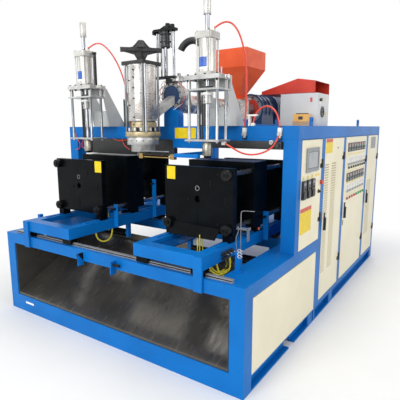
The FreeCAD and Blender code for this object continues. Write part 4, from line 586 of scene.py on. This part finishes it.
studs += [(angle, 1.771, 0.1465, 0.1475) for angle in range(-168, 180, 24)]
wire("head_screws", "frame", "blackOxide", 0.0055,
     [[(*onRound(head, radius, angle), z) for radius in (inner, outer)] for angle, z, inner, outer in studs], 2)
piece("head_tie_pipe", "frame", {
    "hardChrome": [disc("Z", (0.131, -1.5132), 0.0095, 1.8505, 2.4375, 20)]}, 0.0008)
# ribs on the yoke: each outline from its tip to the middle, mirrored, and half its thickness
yokeRibs = (([(0.165, 2.561), (0.11, 2.548), (0.06, 2.535), (0.04, 2.5)], 0.02),
            ([(0.12, 2.589), (0.075, 2.6), (0.045, 2.63), (0.026, 2.655)], 0.016))
piece("yoke_ribs", "frame", {"blackCasting": [
    ("slanted", head, 45, [(-u, z) for u, z in arm] + arm[::-1], thick) for arm, thick in yokeRibs]}, 0.003)

# programmer: cylinder with its rods, rings and cap
rodX, rodY = 0.018, -1.08
canProfile = [(2.63, 0.0205), (2.64, 0.042), (2.655, 0.047), (2.67, 0.045), (2.775, 0.045), (2.787, 0.04)]
capProfile = [(2.812, 0.034), (2.832, 0.034), (2.838, 0.024), (2.858, 0.022), (2.858, 0)]
plugProfile = [(2.812, 0.022), (2.842, 0.022), (2.846, 0.015), (2.846, 0)]
piece("programmer_trim", "frame", {
    "hardChrome": [disc("Z", (rodX + 0.018, rodY - 0.02), 0.012, 2.38, 2.66, 20),
                   disc("Z", (rodX - 0.052, rodY), 0.009, 2.375, 2.7875, 20)],
    "darkSteel": [("turned", "Z", (rodX, rodY), canProfile, 36),
                  ring("Z", (rodX, rodY), 0.052, 0.045, 2.69, 2.702, 36),
                  ring("Z", (rodX, rodY), 0.052, 0.045, 2.76, 2.775, 36)]
                 + [disc("Z", spot, 0.005, 2.64, 2.787, 12) for spot in corners((rodX, rodY), 0.046, 0.03)],
    "blackOxide": [("turned", "Z", (rodX + 0.03, rodY), capProfile, 28),
                   ("turned", "Z", (rodX + 0.085, rodY), plugProfile, 24),
                   ("prism", "Y", [(rodX + x, z) for x, z in ((-0.06, 2.8125), (0.004, 2.8125), (0.004, 2.84))],
                    -1.1, -1.06),
                   block((rodX - 0.142, rodX - 0.115), (-1.11, -1.05), (2.77, 2.805), 0.006, "Z")]
                  + [disc("Z", (rodX + x, rodY), 0.018, 2.776, 2.788, 6) for x in (-0.1, 0.1)],
}, 0.0015)
flange = (0.15, -1.045)
flangeSteps = ((0.03, 2.24, 2.33, 28), (0.07, 2.322, 2.345, 36), (0.045, 2.345, 2.372, 32),
               (0.018, 2.372, 2.4, 6))
piece("adapter_flange", "frame", {
    "groundSteel": [disc("Z", flange, *step) for step in flangeSteps],
    "blackOxide": capBolts("Z", ngon(flange, 0.057, 8), 2.345, 1, 0.006),
}, 0.001)

# hot knife: polished bar above the brass one, and its end flange
blade = (-1.56, 1.65)
piece("knife_trim", "hot_knife", {
    "hardChrome": [block((0.1, 0.43), (-1.574, -1.548), (1.68, 1.69), 0.003, "X"),
                   disc("X", blade, 0.0235, 0.082, 0.09, 28), disc("X", blade, 0.011, 0.07, 0.082, 6)],
    "blackOxide": [block((x - 0.006, x + 0.006), (-1.57, -1.55), (1.6655, 1.681), 0.002) for x in (0.2, 0.4)],
}, 0.0006)

# screen changer: bolted rim and the heater leads round it
drum = (0.09, 2.19)
drumFront = -1.09
piece("drum_rim", "frame", {
    "groundSteel": [ring("Y", drum, 0.12, 0.097, drumFront - 0.0045, drumFront, 48)],
    "blackOxide": capBolts("Y", ngon(drum, 0.108, 12, math.tau / 24), drumFront - 0.0045, -1, 0.006),
}, 0.0006)
leadBends = ((0, 0.126, -1.04), (0.25, 0.15, -1.075), (0.6, 0.152, -1.1), (0.95, 0.142, -1.08),
             (1.15, 0.126, -1.03))
leads = {"heater_leads_red": ("redHose", 0.0, (0.2, 0.9, 1.4, 2.1, 2.7, 3.3, 3.9, 5.1)),
         "heater_leads_white": ("whitePlastic", 0.012, (0.8, 1.7, 2.4, 4.4))}
for name, (finish, lift, starts) in leads.items():  # each lead loops over the drum's rim
    wire(name, "frame", finish, 0.003, [
        [(drum[0] + radius * math.cos(start + turn), y - lift, drum[1] + radius * math.sin(start + turn) + lift)
         for turn, radius, y in leadBends] for start in starts])
print("melt path dressed")

# platens: rims, bolts, slots and plain plates; collars on the tie-bar nuts; the holes and slots are painted
# shade
platenFront = -1.585
platenBolts = ((-0.2, 1.52), (0.2, 1.52), (-0.2, 1.12), (0.2, 1.12), (0.13, 1.46), (0.13, 1.435), (-0.09, 1.3),
               (0.27, 1.33), (0.27, 1.3))
plates = {"left": (-0.483, -0.392), "right": (0.418, 0.506)}
apron = ((-0.29, -0.26, 1.1), (0.22, 0.2, 1.085))  # its upper and lower ends from the station, and top edge
for side, station in stations.items():
    skin = (platenFront - 0.0006, platenFront)
    platen = {
        "holeShade": [disc("Y", (station, 1.4), 0.017, *skin, 28), disc("Y", (station, 1.537), 0.006, *skin, 20),
                     block((station - 0.004, station + 0.004), skin, (1.1, 1.19), 0.003, "Y")],
        "groundSteel": [ring("Y", (station, 1.4), 0.0205, 0.017, platenFront - 0.0012, platenFront, 28)],
        "blackOxide": capBolts("Y", [(station + u, z) for u, z in platenBolts], platenFront, -1, 0.008),
        "yellowFilm": [block(plates[side], (platenFront - 0.0009, platenFront), (1.46, 1.568), 0.003, "Y")],
    }
    if side == "right":
        platen["blackEnamel"] = [("hull", *[
            [(station + upper, platenFront, top), (station + upper, platenFront - 0.004, top),
             (station + lower, platenFront - 0.052, 1.0), (station + lower, platenFront - 0.048, 0.998)]
            for upper, lower, top in apron])]
    piece(side + "_platen_trim", side + "_clamp", platen, 0.0005)
    collars = {"darkSteel": [], "holeShade": []}
    outward = math.copysign(0.29, station)
    for nut in ((station + outward, 1.09), (station + outward, 1.525), (station - outward, 1.09)):
        collars["darkSteel"] += [ring("Y", nut, 0.0408, 0.0388, platenFront - 0.0458, platenFront - 0.043, 36),
                                 ring("Y", nut, 0.0268, 0.0225, platenFront - 0.0465, platenFront - 0.0445, 30)]
        collars["holeShade"] += [disc("Y", (nut[0] + 0.033 * math.cos(a), nut[1] + 0.033 * math.sin(a)),
                                     0.0032, platenFront - 0.0455, platenFront - 0.0449, 10)
                                for a in (0.8, 2.4, 3.9, 5.5)]
        collars["holeShade"] += [disc("Y", nut, 0.008, platenFront - 0.0606, platenFront - 0.06, 16)]
    piece(side + "_nut_collars", side + "_clamp", collars, 0.0004)

# valves and caps on the right carriage
tubeSide = 1.065
cap = (1.052, -1.1)
valveYs = (-1.73, -1.68, -1.63)
piece("carriage_valves", "right_carriage", {
    "blackPlastic": [block((tubeSide, tubeSide + 0.022), (-1.755, -1.6), (0.928, 0.956), 0.003, "X"),
                     block((tubeSide, tubeSide + 0.018), (-1.75, -1.64), (0.896, 0.914), 0.003, "X"),
                     disc("Z", cap, 0.0105, 0.985, 0.999, 20)]
                    + [disc("X", (y, 0.942), 0.009, tubeSide + 0.022, tubeSide + 0.04, 20) for y in valveYs],
    "orangePlastic": [("turned", "Z", cap, [(0.999, 0.0115), (1.014, 0.0115), (1.019, 0.008), (1.019, 0)], 24)],
    "groundSteel": [disc("X", (y, 0.942), 0.004, tubeSide + 0.04, tubeSide + 0.052, 12) for y in valveYs],
    "greyPlastic": [block((tubeSide, tubeSide + 0.003), (-1.345, -1.3), (0.94, 1.06), 0.004, "X"),
                    block((tubeSide - 0.001, tubeSide + 0.014), (-1.345, -1.3), (1.035, 1.06), 0.003, "Y")],
}, 0.0008)

# air lines that drop through the carriages or hang in loops under them: body, finish, radius, starts and bends
dropBends = ((0, 0, 1.03), (0.004, -0.004, 0.97), (-0.004, 0.003, 0.91), (0, 0, 0.83))
dripBends = ((0, 0, 0.884), (0.012, 0.01, 0.84), (0.045, 0.06, 0.8), (0.06, 0.15, 0.795), (0.045, 0.24, 0.8),
             (0.012, 0.29, 0.84), (0, 0.3, 0.884))
cableBends = ((0, 0, 0.884), (0.01, 0.02, 0.83), (0.03, 0.12, 0.8), (0.02, 0.22, 0.83), (0, 0.25, 0.884))
airLines = {
    "right_drop_lines": ("right_carriage", "yellowHose", 0.0045, dropBends,
                         ((0.555, -1.317), (0.63, -1.4), (0.7, -1.46), (0.79, -1.64), (0.84, -1.745))),
    "left_drop_lines": ("left_carriage", "yellowHose", 0.0045, dropBends, ((-0.52, -1.4), (-0.56, -1.43))),
    "right_drip_loops": ("right_carriage", "yellowHose", 0.0065, dripBends,
                         ((0.99, -1.86), (1.015, -1.84), (1.035, -1.885))),
    "right_cable_loops": ("right_carriage", "blackPlastic", 0.005, cableBends, ((1.0, -1.8), (1.03, -1.76))),
}
for name, (body, finish, radius, bends, starts) in airLines.items():
    wire(name, body, finish, radius, [[(x + dx, y + dy, z) for dx, dy, z in bends] for x, y in starts])
print("carriages dressed")

# doors: everything lies on their outer face; heights are in metres above the floor
doorFace = 1.4
louvre = {"pitch": 0.025, "top": 0.014, "shade": (-0.0107, 0.0025), "shadeDepth": 0.0006,
          "hood": ((-0.0005, 0.0), (0.0032, -0.003), (0.0042, -0.011), (-0.0005, -0.0112))}
label = (0, 0.0006)  # the film's two faces, counted from the door's


def onDoor(depths, y, z, radius=0.0):
    return block((doorFace + depths[0], doorFace + depths[1]), y, z, radius, "X")


def aboutSpot(depths, spot, halves, radius=0.0):
    return onDoor(depths, *[(spot[i] - halves[i], spot[i] + halves[i]) for i in (0, 1)], radius)


def knobOf(spot, profile, sides=24):  # a turned knob or button that stands on the door
    return ("turned", "X", spot, [(doorFace + depth, radius) for depth, radius in profile], sides)


def louvres(fields, low, count):  # rows of pressed hoods, each with a shaded slot below it
    parts = {"creamShade": [], "creamEnamel": []}
    for near, far in fields:
        for z in [low + number * louvre["pitch"] for number in range(count)]:
            parts["creamShade"].append(onDoor((0, louvre["shadeDepth"]), (near - 0.001, far + 0.001),
                                              [z + edge for edge in louvre["shade"]]))
            parts["creamEnamel"].append(("hull", *[[(doorFace + out, y, z + louvre["top"] + drop)
                                                    for out, drop in louvre["hood"]] for y in (near, far)]))
    return parts


lock = (-0.013, 1.681)
piece("drive_door_trim", "drive_door", louvres(((-0.403, -0.29), (-0.192, -0.05)), 0.46, 44) | {
    "yellowFilm": [onDoor(label, (-0.403, -0.195), (1.64, 1.745))],
    "redFilm": [onDoor((0, 0.0007), (-0.403, -0.195), (1.745, 1.776))],
    "hardChrome": [disc("X", (-0.396, 0.905), 0.009, 1.432, 1.4335, 20),
                   disc("X", lock, 0.011, doorFace, doorFace + 0.004, 20)],
    "blackPlastic": [disc("X", lock, 0.004, doorFace + 0.004, doorFace + 0.006, 12)]}, 0.0003)
piece("rear_door_trim", "rear_door", louvres(((1.41, 1.64),), 0.465, 30) | {
    "greyPlastic": [onDoor((0, 0.0012), (1.505, 1.785), (1.608, 1.76), 0.01)]}, 0.0003)

# operator door: plain fields, the selector, the screen and three keypads
selector = (-0.579, 1.304)
keypads = (-0.985, -0.875, -0.765)
piece("operator_door_trim", "hmi_door", {
    "yellowFilm": [onDoor(label, (-1.026, -0.75), (0.972, 1.165))]
                  + [aboutSpot(label, (y, 1.463), (0.02, 0.011)) for y in (*keypads, -0.66, -0.6)]
                  + [disc("X", selector, 0.024, doorFace, doorFace + 0.0006, 28)],
    "redFilm": [onDoor((0, 0.0007), (-1.026, -0.75), (1.165, 1.2))],
    "blackPlastic": [knobOf(selector, [(0, 0.018), (0.006, 0.018), (0.008, 0.014), (0.024, 0.012),
                                       (0.026, 0.01), (0.026, 0)])],
    "whitePlastic": [onDoor((0.025, 0.0268), (-0.5805, -0.5775), (1.304, 1.315))],
}, 0.0004)
screen = {
    "greyPlastic": [onDoor((0, 0.009), (-0.937, -0.616), (1.503, 1.711), 0.008)]
                   + [onDoor((0.009, 0.012), y, z) for y, z in (
                       ((-0.937, -0.909), (1.503, 1.711)), ((-0.644, -0.616), (1.503, 1.711)),
                       ((-0.909, -0.644), (1.683, 1.711)), ((-0.909, -0.644), (1.503, 1.531)))],
    "darkGlass": [onDoor((0.009, 0.0094), (-0.909, -0.644), (1.531, 1.683))],
    "displayGlass": [onDoor((0.0094, 0.0098), (-0.897, -0.656), (1.54, 1.674))],
    "blackPlastic": [], "blackOxide": [],
}
for y in keypads:
    screen["blackPlastic"] += [aboutSpot((0, 0.02), (y, 1.36), (0.037, 0.08), 0.006),
                               aboutSpot((0.02, 0.026), (y, 1.3175), (0.03, 0.0275), 0.004)]
    screen["greyPlastic"] += [aboutSpot((0.02, 0.0212), (y, 1.414), (0.024, 0.012)),
                              ring("X", (y, 1.371), 0.02, 0.016, doorFace + 0.02, doorFace + 0.0215, 24)]
    screen["blackOxide"] += [knobOf((y, 1.371), [(0.02, 0.012), (0.026, 0.01), (0.026, 0)], 16)]
piece("operator_panel_dressed", "hmi_door", screen, 0.0006, ["operator_panel"])

# control door: rows of controllers and meters, selector knobs and push-buttons
panel = {"first": 0.434, "pitch": 0.116, "count": 7, "half": 0.048, "controllers": (1.667, 1.331),
         "meters": (1.512, 1.208), "knobs": (0.437, 0.104, 8), "knobRow": 1.44, "buttonRow": 1.09,
         "stripRows": (1.399, 1.135), "keys": (-0.029, -0.0097, 0.0097, 0.029)}
instruments = {"blackPlastic": [], "darkGlass": [], "whitePlastic": [], "redPlastic": [],
               "greenPlastic": [], "hardChrome": [], "yellowFilm": [], "greyPlastic": []}
columns = [panel["first"] + panel["pitch"] * number for number in range(panel["count"])]
square = (panel["half"], panel["half"])
for y, row in [(y, row) for row in panel["controllers"] for y in columns]:
    instruments["blackPlastic"] += [aboutSpot((0, 0.007), (y, row), square, 0.004)]
    instruments["darkGlass"] += [aboutSpot((0.007, 0.0076), (y, row + 0.021), (0.038, 0.019))]
    instruments["greyPlastic"] += [aboutSpot((0.007, 0.0085), (y + shift, row - 0.03), (0.008, 0.006), 0.002)
                                   for shift in panel["keys"]]
    instruments["redPlastic"] += [aboutSpot((0.0076, 0.008), (y - 0.004, row + 0.029), (0.022, 0.005))]
    instruments["greenPlastic"] += [aboutSpot((0.0076, 0.008), (y - 0.004, row + 0.0125), (0.022, 0.0045))]
for y, row in [(y, row) for row in panel["meters"] for y in columns]:
    instruments["whitePlastic"] += [aboutSpot((0, 0.006), (y, row), square, 0.004)]
    instruments["greyPlastic"] += [aboutSpot((0.006, 0.0075), (y, row - 0.034), (panel["half"], 0.014))]
    needle = ((-0.002, -0.016), (0.001, -0.016), (-0.021, 0.022), (-0.0225, 0.0215))
    instruments["blackPlastic"] += [("hull", *[[(doorFace + depth, y + u, row + v) for u, v in needle]
                                               for depth in (0.006, 0.0068)])]
    for angle in [math.radians(35 + 13.75 * tick) for tick in range(9)]:
        spot = (y + 0.034 * math.cos(angle), row - 0.016 + 0.046 * math.sin(angle))
        instruments["blackPlastic"].append(aboutSpot((0.006, 0.0066), spot, (0.001, 0.003)))
firstKnob, knobPitch, knobs = panel["knobs"]
for number in range(knobs):
    y = firstKnob + knobPitch * number
    knob, button = (y, panel["knobRow"]), (y, panel["buttonRow"])
    instruments["hardChrome"] += [ring("X", knob, 0.0165, 0.012, doorFace, doorFace + 0.004, 24),
                                  ring("X", button, 0.018, 0.0145, doorFace, doorFace + 0.005, 24)]
    instruments["blackPlastic"] += [knobOf(knob, [(0, 0.0145), (0.009, 0.0135), (0.009, 0)]),
                                    aboutSpot((0.009, 0.016), knob, (0.003, 0.013), 0.002)]
    cap = "redPlastic" if number < knobs / 2 else "greenPlastic"
    instruments[cap].append(knobOf(button, [(0, 0.0145), (0.013, 0.0145), (0.016, 0.011), (0.0165, 0)]))
    instruments["yellowFilm"] += [aboutSpot(label, (y, z), (0.02, 0.005)) for z in panel["stripRows"]]
piece("control_instruments_dressed", "control_door", instruments, 0.0005, ["control_instruments"])
piece("control_door_trim", "control_door", {
    "yellowFilm": [aboutSpot(label, (y, z), (0.034, 0.006)) for y in columns for z in (1.588, 1.268)],
    "hardChrome": [disc("X", (0.324, 0.898), 0.009, 1.432, 1.4335, 20)],
    "blackPlastic": [onDoor((0, 0.004), (0.318, 0.33), (0.80, 0.86), 0.003)]}, 0.0003)
print("doors dressed")

# control box: fan, switch and plain fields
boxSide = 1.3305
fan = (-0.36, 2.03)
guard = (boxSide, boxSide + 0.004)
film = (boxSide, boxSide + 0.001)
piece("control_box_trim", "frame", {
    "blackPlastic": [ring("X", fan, 0.052, 0.046, boxSide, boxSide + 0.005, 32),
                     ring("X", fan, 0.034, 0.03, *guard, 28),
                     disc("X", fan, 0.014, boxSide, boxSide + 0.005, 20),
                     block(guard, (fan[0] - 0.05, fan[0] + 0.05), (fan[1] - 0.002, fan[1] + 0.002)),
                     block(guard, (fan[0] - 0.002, fan[0] + 0.002), (fan[1] - 0.05, fan[1] + 0.05))],
    "whitePlastic": [block(film, (-0.47, -0.4), (2.1, 2.16), 0.003, "X")],
    "yellowFilm": [block(film, (-0.27, -0.235), (1.99, 2.03), 0.002, "X"),
                   block(film, (-0.31, -0.29), (2.145, 2.165), 0.002, "X")],
}, 0.0006)

# lubricator: ribbed tank and clip
tank = {"ribs": 5, "ribPitch": 0.009, "low": 1.9}
piece("lubricator_trim", "frame", {
    "greyPlastic": [block((1.146, 1.304), (-0.6425, -0.6405), (z, z + 0.004))
                    for z in [tank["low"] + tank["ribPitch"] * n for n in range(tank["ribs"])]],
    "blackPlastic": [block((1.17, 1.28), (-0.626, -0.574), (2.005, 2.014), 0.006, "Z"),
                     block((1.205, 1.245), (-0.646, -0.64), (1.958, 1.985), 0.003, "Y")],
}, 0.0006)

# gearbox: pale ring, red seal and bolts on its front cover
gear = {"centre": (0.0, 2.13), "cover": 0.7195, "bolts": (0.156, 10)}
piece("gearbox_trim", "frame", {
    "greyPlastic": [ring("Y", gear["centre"], 0.176, 0.135, 0.7135, gear["cover"], 56)],
    "redEnamel": [ring("Y", gear["centre"], 0.134, 0.078, 0.708, gear["cover"], 48)],
    "blackOxide": capBolts("Y", ngon(gear["centre"], *gear["bolts"]), 0.7135, -1, 0.009)}, 0.001)
print("covers dressed")

# pale floor and soft studio light; away from the object the floor fades into the white background
scene.view_settings.view_transform = "Standard"
studio = {"floorHalf": 40, "fadeStart": 0.1, "fadeEnd": 2.2, "footprint": (1.4, 2.0, 9), "fill": 0.5}


def lookedAt(tree):  # 1 for the camera's own rays and those that gloss and glass send on
    path = addNode(tree, "LightPath").outputs
    direct = addNode(tree, "Math", {0: path["Is Camera Ray"], 1: path["Is Glossy Ray"]}, operation="MAXIMUM")
    return addNode(tree, "Math", {0: direct.outputs[0], 1: path["Is Transmission Ray"]},
                   operation="MAXIMUM").outputs[0]


floorMesh = bmesh.new()
reach = studio["floorHalf"]
addPrism(floorMesh, "Z", outlineOf((-reach, -reach), (reach, reach)), -0.06, -0.001)
floor = finishMesh("floor", floorMesh, 0)
# matt white paint: takes a soft shadow
floorPaint = makeFinish("floorPaint", "#F4F4F3", "#F1F1F0", 900, 20, rough=(0.5, 0.6), gloss=0.2)
floor.data.materials.append(floorPaint)
tree = floorPaint.node_tree
place = addNode(tree, "TexCoord").outputs["Object"]
spread = addNode(tree, "VectorMath", {0: place}, operation="ABSOLUTE")
beyond = addNode(tree, "VectorMath", {0: spread.outputs[0], 1: studio["footprint"]}, operation="SUBTRACT")
kept = addNode(tree, "VectorMath", {0: beyond.outputs[0], 1: (0, 0, 0)}, operation="MAXIMUM")
away = addNode(tree, "VectorMath", {0: kept.outputs[0]}, operation="LENGTH")
fade = addNode(tree, "MapRange", {0: away.outputs["Value"], "From Min": studio["fadeStart"],
                                  "From Max": studio["fadeEnd"]}, interpolation_type="SMOOTHSTEP")
share = addNode(tree, "Math", {0: fade.outputs[0], 1: lookedAt(tree)}, operation="MULTIPLY")
glow = addNode(tree, "Emission", {"Color": linear("#FFFFFF"), "Strength": 1.0})
paint = next(node for node in tree.nodes if node.type == "BSDF_PRINCIPLED")
blend = addNode(tree, "MixShader", {0: share.outputs[0], 1: paint.outputs[0], 2: glow.outputs[0]})
outlet = next(node for node in tree.nodes if node.type == "OUTPUT_MATERIAL")
tree.links.new(blend.outputs[0], outlet.inputs["Surface"])

world = bpy.data.worlds.new("studio")
scene.world = world
world.use_nodes = True
tree = world.node_tree
tree.nodes.clear()
strength = addNode(tree, "MapRange", {0: lookedAt(tree), "To Min": studio["fill"], "To Max": 1.0})
sky = addNode(tree, "Background", {"Color": linear("#FFFFFF"), "Strength": strength.outputs[0]})
addNode(tree, "OutputWorld", {"Surface": sky.outputs[0]})

lamps = {  # place, target, size and watts of each soft lamp
    "overhead": ((0.3, -0.6, 6.0), (0, -0.5, 1), 5.0, 120),
    "front": ((0.5, -8.0, 3.6), (0, -1.5, 1), 4.5, 310),
    "right": ((7.0, -1.5, 4.0), (1, 0, 1), 4.0, 130),
    "left": ((-6.0, -4.0, 4.0), (-1, -1, 1), 3.0, 60),
    "back": ((0.0, 7.0, 4.0), (0, 1, 1), 4.0, 90),
}
for name, (place, target, size, watts) in lamps.items():
    lamp = bpy.data.objects.new(name, bpy.data.lights.new(name, "AREA"))
    lamp.data.shape = "SQUARE"
    lamp.data.size = size
    lamp.data.energy = watts
    lamp.location = place
    lamp.rotation_euler = (Vector(target) - Vector(place)).to_track_quat("-Z", "Y").to_euler()
    scene.collection.objects.link(lamp)
print("stage lit")
